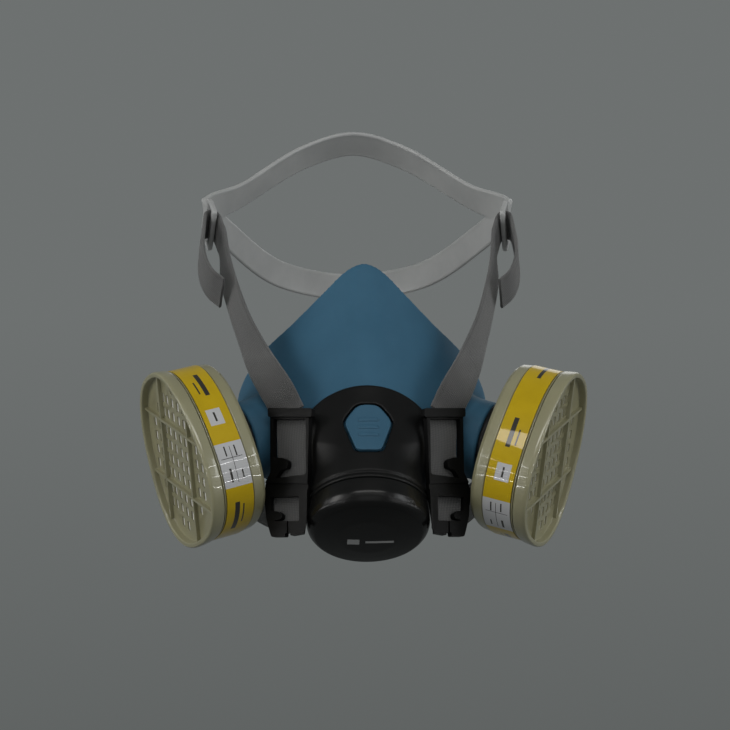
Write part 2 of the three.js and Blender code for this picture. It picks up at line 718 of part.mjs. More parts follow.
function cradleBand(pairs, width) {
  const start = [vec(0, 10.4, 0), vec(0, 17, -0.6)].map((p) => p.applyMatrix4(buckleFrame));
  const outward = vec().setFromMatrixColumn(buckleFrame, 2);
  const half = [];
  for (let i = 0; i < pairs.length; i += 2) half.push(overHead(pairs[i], pairs[i + 1], CRADLE_LIFT));
  const points = [...start, ...half.map((p) => p.point)];
  const faces = [outward, outward, ...half.map((p) => p.normal)];
  const other = (list) => list.slice(0, -1).reverse().map((p) => vec(-p.x, p.y, p.z));
  const all = [...points, ...other(points)].map((p) => p.toArray());
  const allFaces = [...faces, ...other(faces)].map((p) => p.toArray());
  return band(all, allFaces, width, CRADLE_WALL, 28);
}

function buckleEnd() {
  const outline = [[-12.5, -2.4], [12.5, -2.4], [12.5, 10], [8, 15], [-8, 15], [-12.5, 10]];
  const outer = plate(outline, -BUCKLE_WALL / 2, BUCKLE_WALL / 2, 1.5);
  const slot = block([-10.4, 1.2, -3], [10.4, 9.4, 3]);
  return cut(outer, slot).transform(buckleFrame.elements);
}

function headCradle() {
  const upper = cradleBand(UPPER_BAND, UPPER_BAND_WIDTH);
  const lower = cradleBand(LOWER_BAND, LOWER_BAND_WIDTH);
  const end = buckleEnd();
  return toGeometry(join(upper, lower, end, end.transform(mirrored)));
}

// ---- Neck straps and their clasp ----
const neckStrap = () => toGeometry(band(NECK_STRAP, NECK_FACING, STRAP_WIDTH, STRAP_THICK, 24));

const claspBody = (from, to) =>
  block([from, -CLASP_HALF_THICK, -CLASP_HALF_HEIGHT], [to, CLASP_HALF_THICK, CLASP_HALF_HEIGHT]);

// The tongue pulls out to the left and the socket takes it.
function claspTongue() {
  const body = claspBody(-13, -2.1);
  const tongue = block([-3, -1.1, -4.6], [6, 1.1, 4.6]);
  const slot = block([-10.8, -4, -9.6], [-7.8, 4, 9.6]);
  return toGeometry(cut(join(body, tongue), slot));
}

function claspSocket() {
  const body = claspBody(-1.7, 14);
  const well = block([-3, -1.5, -5], [7, 1.5, 5]);
  const slot = block([8.8, -4, -9.6], [11.8, 4, 9.6]);
  return toGeometry(cut(body, well, slot));
}
const claspFrame = new THREE.Matrix4().setPosition(0, CLASP_Y, CLASP_Z);

const group = new THREE.Group();

const finishes = {
  silicone: { color: 0x39647c, roughness: 0.55, metalness: 0 },
  badge: { color: 0x4a7d9c, roughness: 0.5, metalness: 0 },
  black: { color: 0x1b1c1d, roughness: 0.4, metalness: 0 },
  khaki: { color: 0x8d8868, roughness: 0.4, metalness: 0 },
  label: { color: 0xc9a20e, roughness: 0.45, metalness: 0 },
  webbing: { color: 0x636464, roughness: 0.9, metalness: 0 },
  clear: { color: 0xb9bcbb, roughness: 0.45, metalness: 0 },
  rubber: { color: 0x2a2a2a, roughness: 0.8, metalness: 0 },
  felt: { color: 0xe6e4dc, roughness: 1, metalness: 0 },
  carbon: { color: 0x17181a, roughness: 1, metalness: 0 },
};

function add(parent, name, geometry, finish, frame) {
  const mesh = new THREE.Mesh(geometry, new THREE.MeshStandardMaterial(finishes[finish]));
  mesh.name = name;
  if (frame) mesh.applyMatrix4(frame);
  parent.add(mesh);
}

add(group, "facepiece", facepiece(), "silicone");
add(group, "front_cover", frontCover(), "black");
add(group, "size_badge", sizeBadge(), "badge");
add(group, "exhale_valve_seat", exhaleSeat(), "black", snoutFrame);
const exhaleFlap = flap(EXHALE_FLAP_RADIUS, -PORT_DEPTH + 4.8, -PORT_DEPTH - 2);
add(group, "exhale_flap", toGeometry(exhaleFlap), "rubber", snoutFrame);
add(group, "valve_cap", valveCap(), "black", snoutFrame);

for (const side of ["left", "right"]) {
  const half = new THREE.Group();
  if (side === "right") half.scale.x = -1;
  group.add(half);
  add(half, `${side}_port`, portBody(), "black", portFrame);
  add(half, `${side}_port_nut`, toGeometry(portNut()), "black", portFrame);
  add(half, `${side}_inhale_flap`, toGeometry(flap(INHALE_FLAP_RADIUS, -15.6, -10.6)), "rubber", portFrame);
  add(half, `${side}_gasket`, toGeometry(gasket()), "rubber", portFrame);
  add(half, `${side}_case`, cartridgeCase(), "khaki", portFrame);
  add(half, `${side}_grille`, cartridgeGrille(), "khaki", portFrame);
  add(half, `${side}_label`, labelBand(), "label", portFrame);
  add(half, `${side}_inner_felt`, toGeometry(filterBed(7.8, 9.4)), "felt", portFrame);
  add(half, `${side}_carbon_bed`, toGeometry(filterBed(9.8, 19.8)), "carbon", portFrame);
  add(half, `${side}_outer_felt`, toGeometry(filterBed(20.4, 23)), "felt", portFrame);
  add(half, `${side}_yoke`, strapYoke(), "black");
  add(half, `${side}_strap_in_yoke`, strapInYoke(), "webbing");
  add(half, `${side}_upper_strap`, upperStrap(), "webbing");
  add(half, `${side}_neck_strap`, neckStrap(), "webbing");
}
add(group, "head_cradle", headCradle(), "clear");
add(group, "clasp_tongue", claspTongue(), "black", claspFrame);
add(group, "clasp_socket", claspSocket(), "black", claspFrame);

export default group;
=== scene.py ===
"""Looks of a half-mask respirator with twin filter cartridges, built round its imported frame.

Shapes are worked out in millimetres in the part's own frame, and place_piece() turns them to metres.
X runs across the face, Y runs back towards the head and Z is up. The left half is built, then mirrored.
"""
import math

import bmesh
import bpy
import numpy as np
from mathutils import Matrix, Vector
from mathutils.bvhtree import BVHTree


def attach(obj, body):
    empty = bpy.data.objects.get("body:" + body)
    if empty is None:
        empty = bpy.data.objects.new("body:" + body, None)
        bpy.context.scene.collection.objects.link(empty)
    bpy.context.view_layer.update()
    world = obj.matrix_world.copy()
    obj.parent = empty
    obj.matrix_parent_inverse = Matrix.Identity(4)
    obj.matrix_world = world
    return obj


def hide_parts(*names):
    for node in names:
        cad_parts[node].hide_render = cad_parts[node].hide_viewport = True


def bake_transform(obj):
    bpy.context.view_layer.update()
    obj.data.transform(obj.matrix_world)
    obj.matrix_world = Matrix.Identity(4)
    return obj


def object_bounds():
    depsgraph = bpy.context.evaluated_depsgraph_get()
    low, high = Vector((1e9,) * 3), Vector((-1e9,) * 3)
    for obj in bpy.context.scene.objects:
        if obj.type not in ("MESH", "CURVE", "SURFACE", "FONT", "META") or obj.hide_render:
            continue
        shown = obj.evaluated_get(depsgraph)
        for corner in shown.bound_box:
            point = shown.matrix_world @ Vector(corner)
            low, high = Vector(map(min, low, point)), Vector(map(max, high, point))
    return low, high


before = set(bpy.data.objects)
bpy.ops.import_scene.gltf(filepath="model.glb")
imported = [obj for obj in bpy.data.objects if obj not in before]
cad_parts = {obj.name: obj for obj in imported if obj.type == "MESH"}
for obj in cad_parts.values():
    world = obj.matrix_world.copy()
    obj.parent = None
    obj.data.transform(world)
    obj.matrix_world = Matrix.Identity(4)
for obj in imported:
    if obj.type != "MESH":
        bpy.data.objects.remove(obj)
cad_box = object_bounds()

# ---- Driving dimensions, in millimetres ----
MM = 0.001
GAP = 0.35
ROUND = 96  # sides of a round piece
DRUM_SIDES = 192
# The grids that even out fused shapes, finer for the smaller ones.
FACE_VOXEL = 0.65
COVER_VOXEL = 0.45
BADGE_VOXEL = 0.22

# Face seal: the right half of its outline as x, y, z and the angle round the port, from nose to chin.
SEAL = np.array([
    (0, 0, 65.5, 90),
    (8.5, 2, 61, 80),
    (22, 7, 48.5, 66),
    (35, 13.5, 36.5, 50),
    (48.5, 20, 24.5, 34),
    (58, 25, 11.5, 18),
    (62.3, 27.5, -3, 0),
    (60.5, 27.5, -18, -17),
    (51.5, 23.5, -35, -34),
    (38, 17.5, -50, -52),
    (20, 13.5, -60, -71),
    (0, 12, -63, -90),
])
FACE_WALL = 2.2
FLANGE_WIDTH = 9
FLANGE_WALL = 1.6
FLANGE_BACK = 2.6
FACE_SIDES = 150
FACE_STEPS = 44
FACE_EASE = 60  # passes of averaging that round off the ridge from the nose to the port
NOSE_STRAIGHT = 0.98  # how straight the wall runs from the nose to the port: 1 is a straight line
CHIN_STRAIGHT = 0.5
TURRET_TOP = -6.2
# The silicone round each port is smoothed between these radii and heights of the port's frame.
SOFT_RADII = (18.4, 42)
SOFT_HEIGHTS = (-38, -7)
SOFT_ROUNDS = 200
TIP_FROM, TIP_TO = 12, 62  # the heights between which the nose tip's lift grows
TIP_LIFT = 1.4
TIP_SHOULDER = 8  # from the middle out to the tip's shoulders
SHOULDER_LIFT = 1.2

SNOUT_ANGLE = math.radians(55.5)
SNOUT_END = (0, -50.5, -61.75)
SNOUT_RADIUS = 27.5
DRUM_RADIUS = 29.2  # at the drum's front edge
DRUM_TAPER = 0.042  # how fast the drum narrows on the way back to the face
SHELL_WALL = 1.9
CAP_DEPTH = 12.9
PORT_DEPTH = 24
PORT_RADIUS = 22.5
ARCH_TOP = 7
ARCH_RADIUS = 35.5
ARCH_FOOT = 31.8  # half the width of the arch's outline far below the cover
HOOD_WALL = 2
HOOD_BOTTOM = -38
FRONT_BLEND = 8  # how far the cover's drum and hood run into each other at its sides
FRONT_FADE = 18  # the height over which that blend grows from almost nothing at the hood's foot
FRONT_SWING = 84  # in degrees from the cover's middle to the edge of its front sheet
FRONT_BACKMOST = -14  # the farthest back the front sheet reaches
FRONT_COLUMNS = 61
FRONT_ROWS = 70
VENT_TURNS = (-34, -17, 0, 17, 34)  # in degrees, of the valve cap's air slots from its lowest point
SEAT_BORE = 17.8
SEAT_RIM = 25
SPIDER_LOW, SPIDER_HIGH = 1.4, 3.4  # the exhalation seat's spokes and hub, above the port's plane

BADGE_HALF = [(4.8, 12.9), (11.2, 4.4), (5.7, -12.7)]
BADGE_CORNER = 3
BADGE_DEPTH = 40.7
BAR_HEIGHTS = (-4.2, 0, 4.2)  # of the badge's raised bars
BAR_LONG, BAR_TALL = 4.6, 0.9  # half of a bar's length and height

PORT_CENTRE = (-65.1, -17, -21.6)
PORT_AZIMUTH = math.radians(66)
PORT_DROP = math.radians(13)
SPIGOT_RADIUS = 13
SPIGOT_TOP = 5.4
LUG_RADIUS = 15.5
LUG_COUNT = 3
LUG_WIDTH = math.radians(26)
LUG_PLAY = math.radians(8)  # how much wider the case's notches are than the lugs
TWIST = math.radians(40)  # the bayonet's turn from locked to free
BOSS_RADIUS = 19.4
SKIRT_RADIUS = 23.4
NUT_RADIUS = 17
NUT_FACE = -20

CASE_HALF_WIDTH = 35.5
CASE_HALF_HEIGHT = 42.5
CASE_TAPER = 0.17
CASE_SQUARE = 0.84
CASE_LEAN = math.radians(15)
CASE_SIDES = 160
CASE_DEPTH = 22.4
LID_DEPTH = 6.8
LABEL_FROM = 7.4
LABEL_TO = 21.6
GRID_ROLL = math.radians(-17)
RIB_X = 15
RIB_Y = 15.2
RIB_HALF = 0.65
RIB_DROP = 1.7  # from the rim's front down to the ribs

STRAP_WIDTH = 18
STRAP_THICK = 1.5
STRAP_STEP = 1.1  # between the rings of a strap's mesh
YOKE_TOP = (-34.8, -35.5, -4.2)
YOKE_ACROSS = (0.8, -0.6, 0)
YOKE_DOWN = (0, -0.22, -0.9755)
YOKE_THICK = 2.8

HEAD_CENTRE = np.array((0, 80, 55))
HEAD_RADII = np.array((75, 96, 108))
CRADLE_WALL = 2.2
CLASP_Y = 131
CLASP_Z = -24


# ---- Vectors and frames ----
def unit(v):
    v = np.asarray(v, float)
    return v / np.linalg.norm(v, axis=-1, keepdims=True)


def axes(x, y, z, origin):
    """The 4x4 place of a frame with these directions and this origin."""
    place = np.eye(4)
    place[:3, 0], place[:3, 1], place[:3, 2], place[:3, 3] = x, y, z, origin
    return place


def to_part(points, place):
    """Points of a frame in the part's own frame."""
    return np.asarray(points, float) @ place[:3, :3].T + place[:3, 3]


def heading(around, up):
    """The unit vector turned this far from straight ahead, towards the left half, and raised this far."""
    return np.array((
        -math.sin(around) * math.cos(up),
        -math.cos(around) * math.cos(up),
        math.sin(up),
    ))


def turns(count):
    """Evenly spaced angles of a whole turn."""
    return np.arange(count) * 2 * math.pi / count


def turn_z(angle):
    """The place of a frame turned about its own Z."""
    c, s = math.cos(angle), math.sin(angle)
    return axes((c, s, 0), (-s, c, 0), (0, 0, 1), (0, 0, 0))


MIRROR = np.diag((-1.0, 1.0, 1.0, 1.0))

snout_way = np.array((0, -math.cos(SNOUT_ANGLE), -math.sin(SNOUT_ANGLE)))
snout_up = np.array((0, -math.sin(SNOUT_ANGLE), math.cos(SNOUT_ANGLE)))
# Local +Z runs out along the drum and local +Y is its upper front side.
SNOUT = axes(np.cross(snout_up, snout_way), snout_up, snout_way, SNOUT_END)

port_way = heading(PORT_AZIMUTH, -PORT_DROP)
port_front = np.array((math.cos(PORT_AZIMUTH), -math.sin(PORT_AZIMUTH), 0))
# Local +Z runs out along the port and local +X towards the front of the face.
PORT = axes(port_front, np.cross(port_way, port_front), port_way, PORT_CENTRE)

yoke_up = -np.array(YOKE_DOWN)
yoke_face = np.cross(YOKE_ACROSS, yoke_up)
# Local +X runs in towards the front cover, +Y up and +Z out of the yoke's front.
YOKE = axes(YOKE_ACROSS, yoke_up, yoke_face, YOKE_TOP)

buckle_along = unit((-0.24, 0.75, 0.615))
buckle_across = unit(np.cross(buckle_along, (-0.98, -0.16, 0.04)))
# Local +Y runs on along the strap and +Z out from the head.
BUCKLE = axes(buckle_across, buckle_along, np.cross(buckle_across, buckle_along), (-76.2, 73, 88.8))

CLASP = axes((1, 0, 0), (0, 1, 0), (0, 0, 1), (0, CLASP_Y, CLASP_Z))


def spline(points, at, closed=False):
    """Points of a centripetal Catmull-Rom curve, at shares of the way through its control points."""
    points = np.asarray(points, float)
    count = len(points)
    spans = count if closed else count - 1
    way = np.asarray(at, float) * spans
    whole = np.minimum(way.astype(int), spans - 1)
    part = (way - whole)[:, None]
    if closed:
        near = [points[(whole + k) % count] for k in (-1, 0, 1, 2)]
    else:
        ends = np.vstack([2 * points[:1] - points[1:2], points, 2 * points[-1:] - points[-2:-1]])
        near = [ends[whole + k] for k in range(4)]
    a, b, c, d = near
    before, here, after = (
        np.maximum(np.linalg.norm(q - p, axis=1, keepdims=True) ** 0.5, 1e-4)
        for p, q in ((a, b), (b, c), (c, d))
    )
    leave = ((b - a) / before - (c - a) / (before + here) + (c - b) / here) * here
    arrive = ((c - b) / here - (d - b) / (here + after) + (d - c) / after) * here
    square = 3 * (c - b) - 2 * leave - arrive
    cube = 2 * (b - c) + leave + arrive
    return b + leave * part + square * part**2 + cube * part**3


def eased(outline, radius, steps=4):
    """A closed outline of flat points with its corners rounded off. Points on the axis x = 0 stay sharp."""
    if not radius:
        return [tuple(p) for p in outline]
    found = []
    count = len(outline)
    for i, point in enumerate(outline):
        here = np.array(point, float)
        back = np.array(outline[i - 1], float) - here
        on = np.array(outline[(i + 1) % count], float) - here
        reach = min(radius, 0.45 * np.linalg.norm(back), 0.45 * np.linalg.norm(on))
        if abs(here[0]) < 1e-6 or reach < 1e-3:
            found.append(tuple(here))
            continue
        start = here + unit(back) * reach
        end = here + unit(on) * reach
        for step in range(steps + 1):
            t = step / steps
            found.append(tuple((1 - t) ** 2 * start + 2 * t * (1 - t) * here + t**2 * end))
    return found


# ---- Solids: points and faces, in millimetres ----
def skin(rings, closed=False):
    """A skin over rings of points, with flat ends unless the rings close on themselves."""
    rings = np.asarray(rings, float)
    rows, count = rings.shape[:2]
    faces = []
    for i in range(rows if closed else rows - 1):
        low, high = i * count, (i + 1) % rows * count
        for j in range(count):
            k = (j + 1) % count
            faces.append((low + j, low + k, high + k, high + j))
    if not closed:
        faces.append(tuple(range(count)))
        faces.append(tuple(range((rows - 1) * count, rows * count)))
    return rings.reshape(-1, 3), faces


def turned(profile, ease=0.0, sides=ROUND):
    """A body of revolution about +Z from a closed outline of (radius, z) points."""
    outline = np.array(eased(profile, ease))
    angles = turns(sides)
    around = np.column_stack([np.cos(angles), np.sin(angles), np.zeros(sides)])
    rings = [around * r + (0, 0, z) for r, z in outline]
    on_axis = abs(outline[0][0]) < 1e-6 and abs(outline[-1][0]) < 1e-6
    points, faces = skin(rings, closed=not on_axis)
    return points, faces[:-2] if on_axis else faces


def rod(radius, low, high, ease=0.0, sides=ROUND):
    return turned([(0, low), (radius, low), (radius, high), (0, high)], ease, sides)


def ring(outer, inner, low, high, ease=0.0, sides=ROUND):
    return turned([(inner, low), (outer, low), (outer, high), (inner, high)], ease, sides)


def prism(outline, low, high, ease=0.0):
    """A flat outline pulled up from z = low to z = high."""
    flat = np.array(eased(outline, ease))
    return skin([np.column_stack([flat, np.full(len(flat), z)]) for z in (low, high)])


def block(low, high, ease=0.0):
    """A box by its lowest and highest corners, with its upright edges rounded."""
    outline = [(low[0], low[1]), (high[0], low[1]), (high[0], high[1]), (low[0], high[1])]
    return prism(outline, low[2], high[2], ease)


def moved(solid, place):
    return to_part(solid[0], place), solid[1]


def spun(solid, *degrees):
    """Copies of a solid turned about its frame's Z."""
    return [moved(solid, turn_z(math.radians(angle))) for angle in degrees]


def merged(*solids):
    """Solids as one list of points and faces."""
    points, faces, count = [], [], 0
    for some, more in solids:
        points.append(some)
        faces += [tuple(i + count for i in face) for face in more]
        count += len(some)
    return np.vstack(points), faces


# ---- Mesh work ----
def linked(name, data):
    """A new object in the scene."""
    obj = bpy.data.objects.new(name, data)
    bpy.context.scene.collection.objects.link(obj)
    return obj


def build(solid):
    """A closed mesh object, still in millimetres."""
    mesh = bpy.data.meshes.new("work")
    mesh.from_pydata(solid[0].tolist(), [], solid[1])
    sheet = bmesh.new()
    sheet.from_mesh(mesh)
    bmesh.ops.remove_doubles(sheet, verts=sheet.verts, dist=1e-4)
    bmesh.ops.recalc_face_normals(sheet, faces=sheet.faces)
    sheet.to_mesh(mesh)
    sheet.free()
    return linked("work", mesh)


def points_of(obj):
    """The places of obj's vertices, one to a row."""
    return np.array([tuple(vertex.co) for vertex in obj.data.vertices])


def lay_out(obj, name, values):
    """Gives each vertex a row of values, in millimetres, that a finish reads with laid()."""
    lay = obj.data.attributes.new(name, "FLOAT_VECTOR", "POINT")
    lay.data.foreach_set("vector", np.asarray(values, np.float32).ravel())


def moved_object(obj, place):
    obj.data.transform(Matrix(place.tolist()))
    return obj


def settle(obj):
    """Applies the modifiers of obj to its mesh."""
    graph = bpy.context.evaluated_depsgraph_get()
    done = bpy.data.meshes.new_from_object(obj.evaluated_get(graph))
    obj.modifiers.clear()
    obj.data = done
    return obj


def boolean(obj, operation, *tools):
    """Combines obj with each tool, which is a solid or an object that is used up."""
    for tool in tools:
        step = obj.modifiers.new(operation, "BOOLEAN")
        step.operation = operation
        step.solver = "MANIFOLD"
        step.object = build(tool) if isinstance(tool, tuple) else tool
        used = step.object
        settle(obj)
        bpy.data.objects.remove(used)
    return obj


def joined(first, *tools):
    return boolean(build(first) if isinstance(first, tuple) else first, "UNION", *tools)


def cut(obj, *tools):
    return boolean(obj, "DIFFERENCE", *tools)


def kept(obj, *tools):
    return boolean(obj, "INTERSECT", *tools)


def fused(obj, voxel, rounds):
    """Remeshes obj evenly, which fills its inner corners, and smooths it."""
    remesh = obj.modifiers.new("remesh", "REMESH")
    remesh.mode = "VOXEL"
    remesh.voxel_size = voxel
    smooth = obj.modifiers.new("smooth", "SMOOTH")
    smooth.factor = 0.5
    smooth.iterations = rounds
    return settle(obj)


def softened(obj, place, radii, heights, rounds):
    """Smooths obj between two radii and two heights of a frame, most in the middle of the band."""
    (inner, outer), (low, high) = radii, heights
    local = to_part(points_of(obj), np.linalg.inv(place))
    radius = np.hypot(local[:, 0], local[:, 1])
    share = np.interp(radius, (inner, inner + 3, outer - 6, outer), (0, 1, 1, 0))
    share *= np.interp(local[:, 2], (low, low + 4, high - 2, high), (0, 1, 1, 0))
    group = obj.vertex_groups.new(name="soft")
    for index in np.flatnonzero(share > 0.01):
        group.add([int(index)], share[index], "REPLACE")
    smooth = obj.modifiers.new("smooth", "SMOOTH")
    smooth.vertex_group = group.name
    smooth.factor = 0.5
    smooth.iterations = rounds
    settle(obj)
    obj.vertex_groups.clear()
    return obj


def bevelled(obj, width, segments=3, angle=32):
    bevel = obj.modifiers.new("bevel", "BEVEL")
    bevel.width = width
    bevel.segments = segments
    bevel.limit_method = "ANGLE"
    bevel.angle_limit = math.radians(angle)
    bevel.use_clamp_overlap = True
    return settle(obj)


def flipped(obj):
    """obj itself, moved to its mirror image."""
    moved_object(obj, MIRROR)
    obj.data.flip_normals()
    return obj


def mirror_copy(obj):
    """The right-hand piece of a left-hand one."""
    other = obj.copy()
    other.data = obj.data.copy()
    bpy.context.scene.collection.objects.link(other)
    return flipped(other)


def place_piece(obj, name, finish, nodes, crease=35):
    """Gives a finished shape its name, its size in metres, its shading and material, and hides the CAD nodes
    it stands for.
    """
    obj.name = name
    obj.data.name = name
    obj.data.transform(Matrix.Scale(MM, 4))
    obj.data.shade_smooth()
    obj.data.set_sharp_from_angle(angle=math.radians(crease))
    obj.data.materials.clear()
    obj.data.materials.append(finish)
    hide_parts(*nodes)
    return obj


def show(obj, node, body, finish, crease=35):
    """A rigid piece that stands for one CAD node."""
    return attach(place_piece(obj, node + "_shape", finish, [node], crease), body)


def show_pair(obj, node, bodies, finish, crease=35):
    """A left-hand piece and its mirror image. bodies are the left and right bodies."""
    other = mirror_copy(obj)
    show(obj, "left_" + node, bodies[0], finish, crease)
    show(other, "right_" + node, bodies[1], finish, crease)


# ---- Shader nodes ----
def add_node(tree, kind, feeds=(), **settings):
    """A new node with these settings. feeds gives its inputs' values or the sockets they are linked to."""
    made = tree.nodes.new(kind)
    for name, value in settings.items():
        setattr(made, name, value)
    for name, value in dict(feeds).items():
        if isinstance(value, bpy.types.NodeSocket):
            tree.links.new(value, made.inputs[name])
        else:
            made.inputs[name].default_value = value
    return made


def add_ramp(tree, source, stops):
    """source turned to a colour by (position, (r, g, b)) stops."""
    made = add_node(tree, "ShaderNodeValToRGB", {"Fac": source})
    stages = made.color_ramp.elements
    while len(stages) < len(stops):
        stages.new(0.5)
    for stage, (position, colour) in zip(stages, stops):
        stage.position = position
        stage.color = (*colour, 1)
    return made.outputs["Color"]


# ---- Camera, lights and floor ----
CAMERA_TARGET = Vector((-0.001, -0.035, 0.0165))
CAMERA_DISTANCE = 1.0
CAMERA_AZIMUTH = math.radians(-2.4)
CAMERA_ELEVATION = math.radians(-1)
CAMERA_LENS = 105
FLOOR_RADIUS = 3.0
FLOOR_DROP = 0.25  # below the lowest point of the part
FLOOR_SHADES = [(0, (0.17, 0.178, 0.177)), (1, (0.19, 0.198, 0.197))]
# From its rim to its middle the floor starts to show at the first share of the way and is full at the second.
FLOOR_FADE = [(0.74, (0, 0, 0)), (0.93, (1, 1, 1))]
# The backdrop's shade changes between these two directions, given as the height of a unit vector.
BACKDROP_FROM, BACKDROP_TO = -0.22, 0.04
BACKDROP_SHADES = [(0, (0.104, 0.112, 0.11)), (1, (0.154, 0.165, 0.163))]

# Each soft light: its place, the point it faces, its width and height, its power in watts and its colour.
LIGHTS = {
    "top": ((0.0, -0.8, 0.76), (0, -0.02, 0), (1.0, 0.16), 3.0, (1, 0.99, 0.97)),
    "left": ((-1.05, -0.5, 0.4), (0, -0.02, 0), (0.3, 0.5), 2.6, (1, 0.985, 0.96)),
    "right": ((1.0, -0.5, 0.4), (0, 0, -0.02), (0.3, 0.45), 1.6, (0.95, 0.98, 1)),
    "front": ((0, -1.35, 0.12), (0, 0, -0.02), (0.9, 0.7), 0.9, (1, 1, 1)),
    "behind": ((0.3, 1.0, 0.55), (0, 0.06, 0.04), (0.8, 0.5), 1.2, (1, 1, 1)),
}
# Lamp tubes along both walls, as heights and powers. They draw the thin bright lines on the cartridges.
TUBES = ((0.48, 0.9), (0.2, 1.1), (-0.1, 2.0))
TUBE = ((1.02, -0.35), (0.05, -0.04, -0.02), (1.6, 0.01), (1, 1, 1))


def look_at(obj, target):
    obj.rotation_euler = (Vector(target) - obj.location).to_track_quat("-Z", "Y").to_euler()


def add_camera():
    lens = bpy.data.cameras.new("camera")
    lens.lens = CAMERA_LENS
    lens.sensor_width = 36
    camera = linked("camera", lens)
    back = Vector(heading(-CAMERA_AZIMUTH, CAMERA_ELEVATION))
    camera.location = CAMERA_TARGET + back * CAMERA_DISTANCE
    look_at(camera, CAMERA_TARGET)
    bpy.context.scene.camera = camera


def add_lights():
    lamps = dict(LIGHTS)
    (aside, front), (out, *target), size, colour = TUBE
    for side in (-1, 1):
        for height, power in TUBES:
            place = (side * aside, front, height)
            lamps[f"tube_{len(lamps)}"] = (place, (side * out, *target), size, power, colour)
    for name, (place, target, size, power, colour) in lamps.items():
        light = bpy.data.lights.new(name, "AREA")
        light.shape = "RECTANGLE"
        light.size, light.size_y = size
        light.energy = power
        light.color = colour
        lamp = linked(name, light)
        lamp.location = place
        lamp.visible_camera = False
        look_at(lamp, target)


def add_backdrop():
    """A grey surround, paler above than below."""
    world = bpy.data.worlds.new("studio")
    world.use_nodes = True
    tree = world.node_tree
    way = add_node(tree, "ShaderNodeTexCoord").outputs["Generated"]
    height = add_node(tree, "ShaderNodeSeparateXYZ", {"Vector": way}).outputs["Z"]
    span = {"Value": height, "From Min": BACKDROP_FROM, "From Max": BACKDROP_TO}
    share = add_node(tree, "ShaderNodeMapRange", span).outputs["Result"]
    shade = add_ramp(tree, share, BACKDROP_SHADES)
    tree.links.new(shade, tree.nodes["Background"].inputs["Color"])
    bpy.context.scene.world = world


def add_floor(lowest):
    """A round floor that fades out into the backdrop."""
    height = lowest - FLOOR_DROP
    rim = [(FLOOR_RADIUS * math.cos(a), FLOOR_RADIUS * math.sin(a), height) for a in turns(ROUND)]
    mesh = bpy.data.meshes.new("floor")
    mesh.from_pydata(rim, [], [tuple(range(ROUND))])
    floor = linked("floor", mesh)
    paper = Finish("paper", 0.9)
    paper.into("Base Color", paper.ramp(paper.noise(3, 4), FLOOR_SHADES))
    shrink = paper.node("ShaderNodeMapping", {"Vector": paper.coordinates, "Scale": (1 / FLOOR_RADIUS,) * 3})
    inward = {"Vector": shrink.outputs["Vector"]}
    reach = paper.node("ShaderNodeTexGradient", inward, gradient_type="SPHERICAL").outputs["Fac"]
    clear = paper.node("ShaderNodeBsdfTransparent").outputs["BSDF"]
    layers = {0: paper.ramp(reach, FLOOR_FADE), 1: clear, 2: paper.shader.outputs["BSDF"]}
    fade = paper.node("ShaderNodeMixShader", layers)
    surface = paper.tree.nodes["Material Output"].inputs["Surface"]
    paper.tree.links.new(fade.outputs["Shader"], surface)
    floor.data.materials.append(paper.material)


